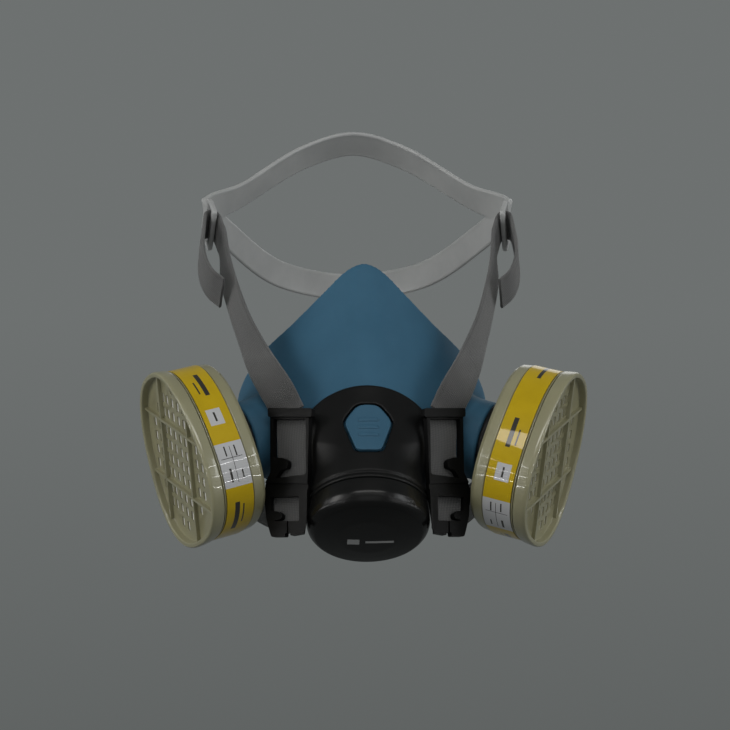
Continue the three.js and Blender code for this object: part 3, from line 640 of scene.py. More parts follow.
# ---- Materials ----
class Finish:
    """A Principled material and the nodes that feed it. Coordinates are metres in the part's frame."""

    def __init__(self, name, roughness, **sockets):
        self.material = bpy.data.materials.new(name)
        self.material.use_nodes = True
        self.tree = self.material.node_tree
        self.shader = self.tree.nodes["Principled BSDF"]
        self.shader.inputs["Roughness"].default_value = roughness
        for socket, value in sockets.items():
            self.shader.inputs[socket.replace("_", " ")].default_value = value
        self.coordinates = self.node("ShaderNodeTexCoord").outputs["Object"]

    def node(self, kind, feeds=(), **settings):
        return add_node(self.tree, kind, feeds, **settings)

    def into(self, socket, source):
        self.tree.links.new(source, self.shader.inputs[socket])

    def noise(self, scale, detail=2.0, rough=0.5):
        feeds = {"Vector": self.coordinates, "Scale": scale, "Detail": detail, "Roughness": rough}
        return self.node("ShaderNodeTexNoise", feeds).outputs["Fac"]

    def cells(self, scale):
        feeds = {"Vector": self.coordinates, "Scale": scale}
        return self.node("ShaderNodeTexVoronoi", feeds).outputs["Distance"]

    def ramp(self, source, stops):
        return add_ramp(self.tree, source, stops)

    def mix(self, how, amount, a, b):
        """Colours a and b mixed. amount is a socket or a number, and b a socket or a colour."""
        feeds = {"Factor": amount, 6: a, 7: (*b, 1) if isinstance(b, tuple) else b}
        return self.node("ShaderNodeMix", feeds, data_type="RGBA", blend_type=how).outputs[2]

    def math(self, how, *values):
        """A Math node of one or two sockets or numbers."""
        return self.node("ShaderNodeMath", enumerate(values), operation=how).outputs["Value"]

    def spread(self, source, low, high):
        """source, from 0 to 1, turned to a number from low to high."""
        feeds = {"Value": source, "To Min": low, "To Max": high}
        return self.node("ShaderNodeMapRange", feeds).outputs["Result"]

    def bump(self, height, depth, strength=1.0, under=None):
        """A bump of height times depth, in metres. under is the normal of a bump below it."""
        feeds = {"Height": height, "Distance": depth, "Strength": strength}
        if under is not None:
            feeds["Normal"] = under
        return self.node("ShaderNodeBump", feeds).outputs["Normal"]

    def laid(self, name):
        """The X and Y of a point attribute, in millimetres."""
        source = self.node("ShaderNodeAttribute", attribute_name=name)
        parts = self.node("ShaderNodeSeparateXYZ", {"Vector": source.outputs["Vector"]})
        return parts.outputs["X"], parts.outputs["Y"]

    def printed(self, boxes):
        """1 inside any of the (x, half length, y, half width) boxes of the "print" attribute."""
        x, y = self.laid("print")
        total = None
        for box in boxes:
            sides = [
                self.math("LESS_THAN", self.math("ABSOLUTE", self.math("SUBTRACT", source, middle)), half)
                for source, middle, half in ((x, *box[:2]), (y, *box[2:]))
            ]
            inside = self.math("MULTIPLY", *sides)
            total = inside if total is None else self.math("MAXIMUM", total, inside)
        return total


# Noise in every moulded finish: spots of colour, spots of gloss and slow waves of the surface.
SPOT_SCALE = 38
GLOSS_SCALE = 90
GLOSS_SPREAD = 0.06
WAVE_SCALE = 60
WAVE_DEPTH = 0.00015
WAVE_STRENGTH = 0.35
MARK_GREY = (0.34, 0.34, 0.34)


def moulded(name, low, high, roughness, grain, depth, marks=(), **sockets):
    """Moulded plastic or rubber: a mottled colour, uneven gloss and a fine grain, with pale printed marks."""
    made = Finish(name, roughness, **sockets)
    colour = made.ramp(made.noise(SPOT_SCALE, 5, 0.6), [(0.32, low), (0.68, high)])
    if marks:
        colour = made.mix("MIX", made.printed(marks), colour, MARK_GREY)
    made.into("Base Color", colour)
    gloss = made.noise(GLOSS_SCALE, 4, 0.65)
    made.into("Roughness", made.spread(gloss, roughness - GLOSS_SPREAD, roughness + GLOSS_SPREAD))
    fine = made.bump(made.noise(grain, 2), depth)
    made.into("Normal", made.bump(made.noise(WAVE_SCALE, 3), WAVE_DEPTH, WAVE_STRENGTH, fine))
    return made.material


RIB_PITCH = 0.95  # of the webbing's ribs, in millimetres
PICK_PITCH = 0.8
# Knit colours from groove to rib: painted shade darkens the grooves and painted light brightens the raised
# ribs.
YARN_WITH_PAINTED_SHADE = [(0.1, (0.042, 0.042, 0.043)), (0.55, (0.08, 0.08, 0.079)), (0.95, (0.132, 0.132, 0.129))]
WEAR = [(0.3, (0.84, 0.84, 0.86)), (0.7, (1.1, 1.09, 1.08))]  # slow changes of shade along the webbing


def webbing(name):
    """Knitted elastic: ribs along the strap, picks across it, in the strap's own millimetres."""
    made = Finish(name, 0.85, Sheen_Weight=0.35, Sheen_Roughness=0.5)
    across, along = made.laid("weave")
    ribs = made.math("SINE", made.math("MULTIPLY", across, 2 * math.pi / RIB_PITCH))
    rows = made.math("MULTIPLY", along, 2 * math.pi / PICK_PITCH)
    picks = made.math("SINE", made.math("ADD", rows, made.math("MULTIPLY", ribs, 0.9)))
    knit = made.math("MULTIPLY", made.math("ADD", ribs, made.math("MULTIPLY", picks, 0.8)), 0.25)
    height = made.math("ADD", knit, made.math("MULTIPLY", made.noise(2600, 3, 0.7), 0.35))
    # The colour follows the knit's height: painted shade in the grooves and painted light on the raised ribs,
    # over a random fibre grain.
    level = made.math("ADD", made.math("MULTIPLY", height, 0.5), 0.35)
    tone = made.ramp(made.noise(55, 4, 0.6), WEAR)
    made.into("Base Color", made.mix("MULTIPLY", 1.0, made.ramp(level, YARN_WITH_PAINTED_SHADE), tone))
    made.into("Normal", made.bump(height, 0.0002))
    return made.material


# The label's white panels and its plain bars and rules, as Finish.printed() takes them, in millimetres.
PANELS = [(10.5, 10.5, 7, 8), (34.5, 4.2, 7.6, 3.6)]
BARS = [
    (10.5, 8.6, 6.6, 0.14), (13.6, 0.14, 7, 5.4), (5.6, 3.2, 9.4, 0.55), (17, 2.4, 9.2, 0.35),
    (5.2, 2.2, 3.6, 0.35), (16.6, 2.6, 4.2, 0.35), (34.5, 2.4, 7.6, 0.5), (54, 7.5, 6.2, 1.15),
    (52, 4, 9.6, 0.4), (-17, 9.5, 8.4, 1.2), (-15, 6, 5.2, 0.35), (-82, 10, 7, 1.1),
    (-112, 6, 7, 0.5), (96, 9, 7, 0.9),
]
YELLOW = [(0.3, (0.47, 0.32, 0.002)), (0.7, (0.52, 0.355, 0.003))]
PANEL_WHITE = (0.5, 0.5, 0.51)
PRINT_BLACK = (0.03, 0.028, 0.024)


def printed_label(name):
    """A glossy yellow label with white panels and plain bars."""
    made = Finish(name, 0.38, Coat_Weight=0.8, Coat_Roughness=0.04, Specular_IOR_Level=0.1)
    colour = made.mix("MIX", made.printed(PANELS), made.ramp(made.noise(120, 3), YELLOW), PANEL_WHITE)
    made.into("Base Color", made.mix("MIX", made.printed(BARS), colour, PRINT_BLACK))
    made.into("Roughness", made.spread(made.noise(200, 3), 0.24, 0.4))
    made.into("Normal", made.bump(made.noise(45, 2), 0.0002, 0.4))
    return made.material


def fibrous(name, low, high, scale, depth):
    """Felt or granules."""
    made = Finish(name, 0.95)
    made.into("Base Color", made.ramp(made.noise(scale, 5, 0.7), [(0.3, low), (0.7, high)]))
    fine = made.bump(made.noise(scale, 6, 0.8), depth)
    made.into("Normal", made.bump(made.cells(scale * 1.6), depth, 1.0, fine))
    return made.material


SILICONE = moulded(
    "blue_silicone", (0.034, 0.108, 0.177), (0.041, 0.123, 0.199), 0.6, 3600, 0.00003,
    Subsurface_Weight=0.05, Subsurface_Scale=0.002, Specular_IOR_Level=0.22,
)
BADGE = moulded(
    "badge_blue", (0.033, 0.098, 0.158), (0.039, 0.111, 0.176), 0.45, 3200, 0.00003, Specular_IOR_Level=0.25
)
INK = (0.0028, 0.0028, 0.003), (0.005, 0.005, 0.0048)
BLACK = moulded("black_plastic", *INK, 0.4, 4200, 0.00002, Specular_IOR_Level=0.2)
YOKE_BLACK = moulded("yoke_black", *INK, 0.42, 4200, 0.00002, Specular_IOR_Level=0.1)
CAP_BARS = [(-7, 2.8, -3.4, 2.2), (5.2, 6.6, -3.4, 0.9)]
CAP = moulded("cap_black", *INK, 0.25, 4200, 0.00001, CAP_BARS, Specular_IOR_Level=0.28)
KHAKI = moulded(
    "khaki_plastic", (0.25, 0.235, 0.138), (0.285, 0.27, 0.163), 0.36, 3400, 0.00002,
    Coat_Weight=0.8, Coat_Roughness=0.05,
)
LIGHT = moulded("cradle_grey", (0.36, 0.365, 0.365), (0.43, 0.435, 0.43), 0.42, 3000, 0.00001)
RUBBER = moulded("valve_rubber", (0.02, 0.02, 0.021), (0.032, 0.032, 0.033), 0.62, 2600, 0.00004)
WEBBING = webbing("grey_webbing")
LABEL = printed_label("yellow_label")
FELT = fibrous("filter_felt", (0.74, 0.73, 0.69), (0.92, 0.91, 0.88), 900, 0.0003)
CARBON = fibrous("carbon_grains", (0.006, 0.006, 0.007), (0.03, 0.03, 0.032), 700, 0.0006)

add_camera()
add_lights()
add_backdrop()
add_floor(cad_box[0].z)
bpy.context.scene.view_settings.view_transform = "Standard"

# ---- Facepiece ----
seal_loop = np.vstack([SEAL, SEAL[-2:0:-1] * (-1, 1, 1, -1) + (0, 0, 0, 180)])


def loft_ring(t):
    """A ring of the facepiece's outer wall: t is 0 at the seal and 1 at the exhalation port."""
    angle = np.radians(seal_loop[:, 3])
    upright = np.sin(angle)
    nose, chin = NOSE_STRAIGHT * np.abs(upright) ** 1.3, CHIN_STRAIGHT * upright**2
    curve = 1 - np.where(upright > 0, nose, chin)
    inward = t + (1 - math.cos(t * math.pi / 2) - t) * curve
    forward = t + (math.sin(t * math.pi / 2) - t) * curve
    flat = np.full(len(angle), -PORT_DEPTH)
    rim = to_part(np.column_stack([PORT_RADIUS * np.cos(angle), PORT_RADIUS * upright, flat]), SNOUT)
    seal = seal_loop[:, :3]
    ring_points = seal + (rim - seal) * np.column_stack([inward, forward, inward])
    return spline(ring_points, np.arange(FACE_SIDES) / FACE_SIDES, closed=True)


face_grid = np.array([loft_ring(t) for t in np.linspace(0, 1, FACE_STEPS)])
# Full strength in the middle of the wall, and none at the seal and at the port.
ease_share = np.interp(np.linspace(0, 1, FACE_STEPS), (0.02, 0.22, 0.85, 1), (0, 1, 1, 0))[:, None, None]
for _ in range(FACE_EASE):
    beside = (np.roll(face_grid, 1, axis=1) + np.roll(face_grid, -1, axis=1)) / 2
    face_grid += (beside - face_grid) * 0.5 * ease_share
face_round = np.roll(face_grid, -1, axis=1) - np.roll(face_grid, 1, axis=1)
face_out = unit(np.cross(face_round, np.gradient(face_grid, axis=0)))


def face_rings(distance):
    """The outer wall's rings moved along the wall's own normal."""
    return face_grid - face_out * distance


def face_volume(distance):
    """The facepiece's outer shape with its inside filled, grown by distance."""
    return skin(face_rings(distance))


def flange_ring(inward, back):
    """A ring of the seal's flange, this far towards the middle of the face and this far back."""
    edge = face_grid[0]
    return edge + unit(edge * (-1, 0, -1)) * inward + (0, back, 0)


def smooth_step(x):
    x = np.clip(x, 0, 1)
    return x * x * (3 - 2 * x)


def facepiece():
    """The silicone wall with its in-turned seal flange and a turret round each port."""
    flange = [
        (FACE_WALL + 0.8, -2.2),
        (6, -0.4),
        (FLANGE_WIDTH - 0.4, FLANGE_BACK - FLANGE_WALL),
        (FLANGE_WIDTH + 0.3, FLANGE_BACK - FLANGE_WALL / 2),
        (FLANGE_WIDTH - 0.4, FLANGE_BACK),
        (5, 1.9),
        (1.6, 0.9),
    ]
    inner = face_rings(-FACE_WALL)[3:][::-1]
    wall = skin([*face_rings(0), *inner, *(flange_ring(*step) for step in flange)], closed=True)
    skirt = turned([
        (NUT_RADIUS + GAP, -36), (SKIRT_RADIUS, -36), (BOSS_RADIUS + 1, -20), (BOSS_RADIUS, -14),
        (BOSS_RADIUS, TURRET_TOP - 1), (BOSS_RADIUS - 1, TURRET_TOP), (NUT_RADIUS + GAP, TURRET_TOP),
    ], 0.6)
    left_half = block((-120, -80, -90), (0, 8, 60))
    turret = kept(cut(build(moved(skirt, PORT)), face_volume(-0.4)), left_half)
    floor = moved(rod(NUT_RADIUS + 1, NUT_FACE, TURRET_TOP), PORT)
    body = joined(wall, mirror_copy(turret), turret, floor, moved(floor, MIRROR))
    pocket = moved(rod(NUT_RADIUS + GAP, -60, NUT_FACE), PORT)
    bore = moved(rod(SPIGOT_RADIUS + 1.6, -40, 5), PORT)
    cut(body, pocket, bore, moved(pocket, MIRROR), moved(bore, MIRROR))
    fused(body, FACE_VOXEL, 12)
    for place in (PORT, MIRROR @ PORT):
        softened(body, place, SOFT_RADII, SOFT_HEIGHTS, SOFT_ROUNDS)
    return fuller_tip(body)


def fuller_tip(body):
    """Lifts the nose tip and, a little more, its shoulders, which rounds the tip."""
    points = points_of(body)
    rise = smooth_step((points[:, 2] - TIP_FROM) / (TIP_TO - TIP_FROM))
    shoulder = smooth_step(np.abs(points[:, 0]) / TIP_SHOULDER)
    points[:, 2] += rise * (TIP_LIFT + SHOULDER_LIFT * shoulder)
    body.data.vertices.foreach_set("co", points.ravel())
    return body


show(facepiece(), "facepiece", "mask", SILICONE, crease=60)


# ---- Snout: front cover, badge, exhalation valve and its cap ----
def drum(z):
    """The drum's radius at z in the snout's frame."""
    return DRUM_RADIUS + DRUM_TAPER * z


def drum_cone(grow, low, high):
    return turned([(0, low), (drum(low) + grow, low), (drum(high) + grow, high), (0, high)], 0, DRUM_SIDES)


def arch_prism():
    """The cover's outline from the front: straight sides under an arch."""
    swing = math.asin(SNOUT_RADIUS / ARCH_RADIUS)
    outline = [(-ARCH_FOOT, -100), (ARCH_FOOT, -100)]
    for angle in np.linspace(swing, -swing, 40):
        fall = ARCH_RADIUS - ARCH_RADIUS * math.cos(angle)
        outline.append((ARCH_RADIUS * math.sin(angle), ARCH_TOP - fall))
    points, faces = prism(outline, -100, 40)
    return points[:, (0, 2, 1)], faces


def badge_prism(grow):
    """A prism through the front of the cover, square to its surface at the badge."""
    right = [(x + grow * np.sign(x), y + grow * np.sign(y)) for x, y in BADGE_HALF]
    return badge_tool(right + [(-x, y) for x, y in reversed(right)], BADGE_CORNER)


def badge_tool(outline, corner):
    points, faces = prism(outline, 15, 45, corner)
    stood = np.column_stack([points[:, 0], points[:, 2], -BADGE_DEPTH - points[:, 1]])
    return to_part(stood, SNOUT), faces


def front_skin(out, deep):
    """The cover's front between drum and hood as one smooth sheet, this far out and this deep."""
    hood = BVHTree.FromPolygons(*(list(part) for part in face_volume(GAP + HOOD_WALL)))
    x = SNOUT_RADIUS * np.sin(np.radians(np.linspace(-FRONT_SWING, FRONT_SWING, FRONT_COLUMNS)))
    z = np.linspace(HOOD_BOTTOM + 1, ARCH_TOP + 4, FRONT_ROWS)
    across, up = np.meshgrid(x, z)
    local_z = np.full(across.shape, -40.0)
    for _ in range(8):
        local_y = np.sqrt(np.maximum(drum(local_z) ** 2 - across**2, 1))
        local_z = (up - SNOUT_END[2] - local_y * snout_up[2]) / snout_way[2]
    drum_y = SNOUT_END[1] + local_y * snout_up[1] + local_z * snout_way[1]
    hood_y = np.full(across.shape, 40.0)
    for spot in np.ndindex(across.shape):
        hit = hood.ray_cast(Vector((across[spot], -120, up[spot])), Vector((0, 1, 0)))[0]
        if hit:
            hood_y[spot] = hit.y
    low_share = np.interp(up, (HOOD_BOTTOM + 1, HOOD_BOTTOM + FRONT_FADE), (0.04, 1))
    blend = FRONT_BLEND * (0.08 + (across / SNOUT_RADIUS) ** 2) * low_share
    front = -blend * np.logaddexp(-drum_y / blend, -hood_y / blend) - out
    front = np.minimum(front, FRONT_BACKMOST)
    rows = [np.column_stack([x, front[i], np.full(len(x), z[i])]) for i in range(FRONT_ROWS)]
    back = [row[::-1] + (0, deep, 0) for row in rows]
    return skin([np.vstack(pair) for pair in zip(rows, back)])


def front_cover():
    """The drum's tube and the arched hood over it, blended into one shell."""
    end = -CAP_DEPTH - GAP
    back = -68
    edge = drum(end)
    tube = turned([
        (drum(back) - SHELL_WALL, back), (drum(back), back), (edge, end - 3.6), (edge - 0.7, end - 3.1),
        (edge - 0.7, end - 2.2), (edge, end - 1.7), (edge - 0.1, end), (edge - SHELL_WALL, end),
    ], 0.5, DRUM_SIDES)
    hood = build(face_volume(GAP + HOOD_WALL))
    cut(hood, moved(drum_cone(-1, -90, 30), SNOUT))
    kept(hood, block((-SNOUT_RADIUS, -90, HOOD_BOTTOM), (SNOUT_RADIUS, -8, 30)))
    above_drum = moved(block((-60, -60, -120), (60, 60, end - 6)), SNOUT)
    front = kept(build(front_skin(0, 2)), above_drum)
    joined(hood, moved(tube, SNOUT), front)
    kept(hood, arch_prism())
    turret = moved(rod(SKIRT_RADIUS + GAP, -40, 0), PORT)
    behind = block((-40, -5, -40), (40, 40, 40))
    cut(hood, badge_prism(GAP + 0.45), face_volume(GAP), turret, moved(turret, MIRROR), behind)
    return fused(hood, COVER_VOXEL, 7)


def size_badge():
    """The shield, with three plain raised bars."""
    shield = kept(build(front_skin(0.4, 2.9)), badge_prism(-0.1))
    cut(shield, face_volume(GAP))
    slats = []
    for height in BAR_HEIGHTS:
        low, high = height - BAR_TALL, height + BAR_TALL
        outline = [(-BAR_LONG, low), (BAR_LONG, low), (BAR_LONG, high), (-BAR_LONG, high)]
        slats.append(badge_tool(outline, 0.8))
    bars = kept(build(front_skin(1.05, 1.7)), merged(*slats))
    return fused(joined(shield, bars), BADGE_VOXEL, 5)


def exhale_seat():
    """The exhalation valve's seat: a sleeve in the port, a flange, a collar towards the cap and a spider."""
    sleeve = ring(PORT_RADIUS - FACE_WALL - GAP, SEAT_BORE, -PORT_DEPTH - 7, -PORT_DEPTH + 4.4, 0.4)
    flange = ring(SEAT_RIM, SEAT_BORE, -PORT_DEPTH + GAP, -PORT_DEPTH + 2.4, 0.3)
    collar = ring(SEAT_RIM - 0.3, SEAT_RIM - 1.7, -PORT_DEPTH + 1, -CAP_DEPTH + 4.6, 0.3)
    low, high = -PORT_DEPTH + SPIDER_LOW, -PORT_DEPTH + SPIDER_HIGH
    reach = SEAT_BORE + 0.6
    spokes = spun(block((-reach, -1, low), (reach, 1, high)), 0, 60, 120)
    hub = rod(3.6, low, high)
    seat = cut(joined(sleeve, flange, collar, *spokes, hub), rod(1.6, -60, 10))
    return moved_object(bevelled(seat, 0.25), SNOUT)


def flap(radius, disc_at, bulb_at, place):
    """A flap valve: a thin disc with a stem and a bulb that holds it on its seat's hub."""
    way = math.copysign(1, disc_at - bulb_at)
    bulb = [(0, -2.4), (1.1, -2.2), (2.3, 0), (1.15, 0)]
    disc = [
        (1.15, 0), (radius - 2, 0), (radius, -0.1), (radius, 0.5), (radius - 2, 0.7), (2.4, 0.7),
        (1.6, 1.5), (0, 1.5),
    ]
    profile = [(r, bulb_at + way * z) for r, z in bulb] + [(r, disc_at + way * z) for r, z in disc]
    return moved_object(build(turned(profile, 0.25)), place)


def valve_cap():
    """The cap, with air slots round the lower edge of its wall."""
    inner = drum(-CAP_DEPTH) - SHELL_WALL - 0.45
    wall = drum(-CAP_DEPTH)
    cap = build(turned([
        (0, 0.4), (inner - 5, -0.6), (inner, -4.6), (inner, -CAP_DEPTH), (wall - 0.1, -CAP_DEPTH),
        (wall, -CAP_DEPTH + 1.2), (wall + 0.1, -5.6), (wall - 0.6, -3), (wall - 1.9, -1.1),
        (wall - 3.6, 0.5), (wall - 9, 1.4), (wall - 15, 2.2), (0, 2.6),
    ], 0.8, DRUM_SIDES))
    cut(cap, *spun(block((-2.6, -40, -7.6), (2.6, -15, -4.2)), *VENT_TURNS))
    lay_out(cap, "print", points_of(cap))
    return moved_object(cap, SNOUT)


show(front_cover(), "front_cover", "mask", BLACK, crease=60)
show(size_badge(), "size_badge", "mask", BADGE, crease=60)
show(exhale_seat(), "exhale_valve_seat", "mask", BLACK)
exhale_flap = flap(16.5, -PORT_DEPTH + 4.8, -PORT_DEPTH - 2, SNOUT)
show(exhale_flap, "exhale_flap", "exhale_flap", RUBBER)
show(valve_cap(), "valve_cap", "valve_cap", CAP)


# ---- Cartridge ports ----
def sector(turn, width, radius, low, high):
    """A wedge round the axis, with its middle at turn."""
    arc = [turn + width * share for share in np.linspace(-0.5, 0.5, 9)]
    outline = [(0, 0)] + [(radius * math.cos(a), radius * math.sin(a)) for a in arc]
    return prism(outline, low, high)


lug_turns = [math.pi / 2 + i * 2 * math.pi / LUG_COUNT for i in range(LUG_COUNT)]


def port_body():
    """A spigot with a flange, bayonet lugs and the spider of the inhalation seat."""
    bore = SPIGOT_RADIUS - 2.2
    barrel = SPIGOT_RADIUS + 1.2
    flange = BOSS_RADIUS + 1.2
    tube = turned([
        (bore, -24), (barrel, -24), (barrel, -5.8), (flange - 1, -5.8), (flange, -4.8), (flange, -3.4),
        (flange - 0.8, -2.7), (SPIGOT_RADIUS, -2.7), (SPIGOT_RADIUS, SPIGOT_TOP), (bore, SPIGOT_TOP),
    ], 0.35)
    wedges = [build(sector(turn, LUG_WIDTH, LUG_RADIUS, 2.6, 5)) for turn in lug_turns]
    lugs = [cut(wedge, rod(SPIGOT_RADIUS - 1, 1.6, 6)) for wedge in wedges]
    spokes = spun(block((-bore - 1, -0.9, -15), (bore + 1, 0.9, -13.2)), 0, 90)
    body = cut(joined(tube, *lugs, *spokes, rod(3.2, -15, -13.2)), rod(1.5, -30, 0))
    return moved_object(bevelled(body, 0.2), PORT)


def port_nut():
    """The clamping nut, with notches for a spanner round its rim."""
    low, high = NUT_FACE - GAP - 3, NUT_FACE - GAP
    nut = build(ring(NUT_RADIUS, SPIGOT_RADIUS + 1.2 + GAP, low, high, 0.3))
    notch = block((NUT_RADIUS - 0.9, -1.3, low - 1), (NUT_RADIUS + 2, 1.3, low + 2))
    notches = spun(notch, *range(0, 360, 45))
    return moved_object(bevelled(cut(nut, *notches), 0.2), PORT)


MASK_BODIES = ("mask", "mask")
FLAP_BODIES = ("left_inhale_flap", "right_inhale_flap")
CARTRIDGE_BODIES = ("left_cartridge", "right_cartridge")
show_pair(port_body(), "port", MASK_BODIES, BLACK)
show_pair(port_nut(), "port_nut", MASK_BODIES, BLACK)
show_pair(flap(9.6, -15.6, -10.6, PORT), "inhale_flap", FLAP_BODIES, RUBBER)


# ---- Cartridges ----
def case_ring(inset, z, sides=CASE_SIDES):
    """The case's outline, this far inside its widest size, at height z."""
    angle = turns(sides)
    up = np.sign(np.sin(angle)) * np.abs(np.sin(angle)) ** CASE_SQUARE
    side = np.sign(np.cos(angle)) * np.abs(np.cos(angle)) ** CASE_SQUARE
    x = (CASE_HALF_WIDTH - inset) * side * (1 - CASE_TAPER * up)
    y = (CASE_HALF_HEIGHT - inset) * up
    return to_part(np.column_stack([x, y, np.full(sides, z)]), turn_z(CASE_LEAN))


def wall_round(steps, ease):
    """A wall round the case from its closed (inset, z) section, with the section's corners rounded."""
    section = eased([(inset + 100, z) for inset, z in steps], ease)
    return skin([case_ring(inset - 100, z) for inset, z in section], closed=True)


def slab(inset, low, high):
    return skin([case_ring(inset, low), case_ring(inset, high)])


def cartridge_case():
    """The case's wall and back, with the bayonet's socket and the notches that its lugs pass."""
    wall = wall_round([
        (5.2, 0), (3.4, 0.7), (2.1, 2.4), (1.6, LABEL_FROM - 0.4), (2.2, LABEL_FROM), (2, LABEL_TO),
        (1.2, LABEL_TO + 0.3), (1.2, CASE_DEPTH), (3.6, CASE_DEPTH), (4.6, 2.4), (10, 2.4), (10, 0),
    ], 0.35)
    back = slab(9, 0, 2.4)
    socket = ring(SPIGOT_RADIUS + 6, LUG_RADIUS + GAP, 1, 5.9)
    floor = ring(SPIGOT_RADIUS + 6, SPIGOT_RADIUS - 3, 5.8, 7.4)
    notches = [sector(turn + TWIST, LUG_WIDTH + LUG_PLAY, LUG_RADIUS + GAP, -1, 3) for turn in lug_turns]
    body = joined(wall, back, socket, floor)
    cut(body, rod(SPIGOT_RADIUS + GAP, -1, 6.5), rod(LUG_RADIUS + GAP, 2.2, 5.85), *notches)
    return moved_object(bevelled(body, 0.2, 2, 50), PORT)


SLOT_WIDTH = 2.8
SLOT_LENGTH = 5
SLOT_PITCH_X = 5.7
SLOT_PITCH_Y = 7.1
SLOT_FIRST_X = 3  # from the middle to the first column
SLOT_PAST_RIB = 4.4  # from a level rib to the first row beyond it
SLOT_SHIFT = 1.1  # how far a column under an upright rib moves in
SLOT_EDGE_X, SLOT_EDGE_Y = 5.6, 5.2  # how far inside the case's widest outline the slots end
SLOT_SQUARE = 2.2  # the slots fill a rounded oblong, which 2 would make an ellipse
RIM_INSET = 2.8
PLATE_DROP = 3.4  # from the rim's front down to the slotted plate
PLATE_WALL = 0.7


def slots():
    """Rows of short air slots between the ribs, inside the rim."""
    reach_x = CASE_HALF_WIDTH - SLOT_EDGE_X
    reach_y = CASE_HALF_HEIGHT - SLOT_EDGE_Y
    found = []
    rows = [k * SLOT_PITCH_Y + SLOT_PITCH_Y / 2 for k in (-2, -1, 0, 1)]
    rows += [side * (RIB_Y + SLOT_PAST_RIB + k * SLOT_PITCH_Y) for side in (-1, 1) for k in range(3)]
    columns = [side * (SLOT_FIRST_X + k * SLOT_PITCH_X) for side in (-1, 1) for k in range(5)]
    for x in columns:
        if abs(abs(x) - RIB_X) < SLOT_WIDTH / 2 + 0.4:
            x -= math.copysign(SLOT_SHIFT, x)
        for y in rows:
            corner = (abs(x) + SLOT_WIDTH / 2) / reach_x, (abs(y) + SLOT_LENGTH / 2) / reach_y
            if corner[0] ** SLOT_SQUARE + corner[1] ** SLOT_SQUARE > 1:
                continue
            low = (x - SLOT_WIDTH / 2, y - SLOT_LENGTH / 2, 10)
            high = (x + SLOT_WIDTH / 2, y + SLOT_LENGTH / 2, 40)
            found.append(moved(block(low, high, 1.1), turn_z(GRID_ROLL)))
    return found


def cartridge_grille():
    """The rim of the lid, the slotted plate in it and two pairs of crossing ribs."""
    top = CASE_DEPTH + LID_DEPTH
    plate_top = top - PLATE_DROP
    plate_low = plate_top - PLATE_WALL
    rim = wall_round([
        (1.1, CASE_DEPTH + GAP), (0.6, CASE_DEPTH + 0.9), (0.1, top - 1.8), (0.2, top - 0.7), (0.7, top),
        (RIM_INSET - 0.3, top), (RIM_INSET, top - 0.8), (RIM_INSET, plate_top), (RIM_INSET + 3, plate_top),
        (RIM_INSET + 3, plate_low), (RIM_INSET + 0.4, plate_low), (RIM_INSET + 0.4, CASE_DEPTH + GAP),
    ], 0.4)
    plate = slab(RIM_INSET + 2, plate_low, plate_top)
    low, high = plate_top - 1, top - RIB_DROP
    ribs = []
    for side in (-1, 1):
        x, y = side * RIB_X, side * RIB_Y
        ribs.append(block((x - RIB_HALF, -60, low), (x + RIB_HALF, 60, high)))
        ribs.append(block((-60, y - RIB_HALF, low), (60, y + RIB_HALF, high)))
    body = joined(rim, plate)
    cut(body, merged(*slots()))
    lattice = joined(*(moved(rib, turn_z(GRID_ROLL)) for rib in ribs))
    joined(body, kept(lattice, slab(RIM_INSET - 0.6, plate_top - 2, top)))
    return moved_object(bevelled(body, 0.22, 2, 50), PORT)


def label_band(first):
    """The label round the case. Its print starts at the angle first, in degrees."""
    low, high = LABEL_FROM + 0.3, LABEL_TO - 0.3
    section = [(1.3, low), (1.25, high), (1.75, high), (1.8, low)]
    rings = [case_ring(inset, z, 360) for inset, z in section]
    obj = build(skin(rings, closed=True))
    outline = case_ring(1.3, low, 360)[:, :2]
    steps = np.linalg.norm(np.roll(outline, -1, axis=0) - outline, axis=1)
    lengths = np.concatenate([[0], np.cumsum(steps)[:-1]])
    whole = steps.sum()
    origin = lengths[first % 360]
    values = []
    for point in points_of(obj):
        nearest = np.argmin(np.linalg.norm(outline - point[:2], axis=1))
        around = (lengths[nearest] - origin + whole / 2) % whole - whole / 2
        values.append((around, point[2] - low, 0))
    lay_out(obj, "print", values)
    return moved_object(obj, PORT)


show_pair(cartridge_case(), "case", CARTRIDGE_BODIES, KHAKI)
show_pair(cartridge_grille(), "grille", CARTRIDGE_BODIES, KHAKI)
gasket = moved_object(build(ring(BOSS_RADIUS + 0.6, LUG_RADIUS + 0.6, -2.4, -GAP, 0.5)), PORT)
show_pair(gasket, "gasket", CARTRIDGE_BODIES, RUBBER)
for layer, inset, low, high, finish, slot in (
    ("inner_felt", 5.2, 7.8, 9.4, FELT, "filter_felt"),
    ("carbon_bed", 5.2, 9.8, 19.8, CARBON, "carbon"),
    ("outer_felt", 4.1, 20.4, 25.05, FELT, "filter_felt"),
):
    bed = bevelled(build(slab(inset, low, high)), 0.4)
    show_pair(moved_object(bed, PORT), layer, CARTRIDGE_BODIES, finish)

show(label_band(-32), "left_label", "left_cartridge", LABEL)
show(flipped(label_band(-77)), "right_label", "right_cartridge", LABEL)


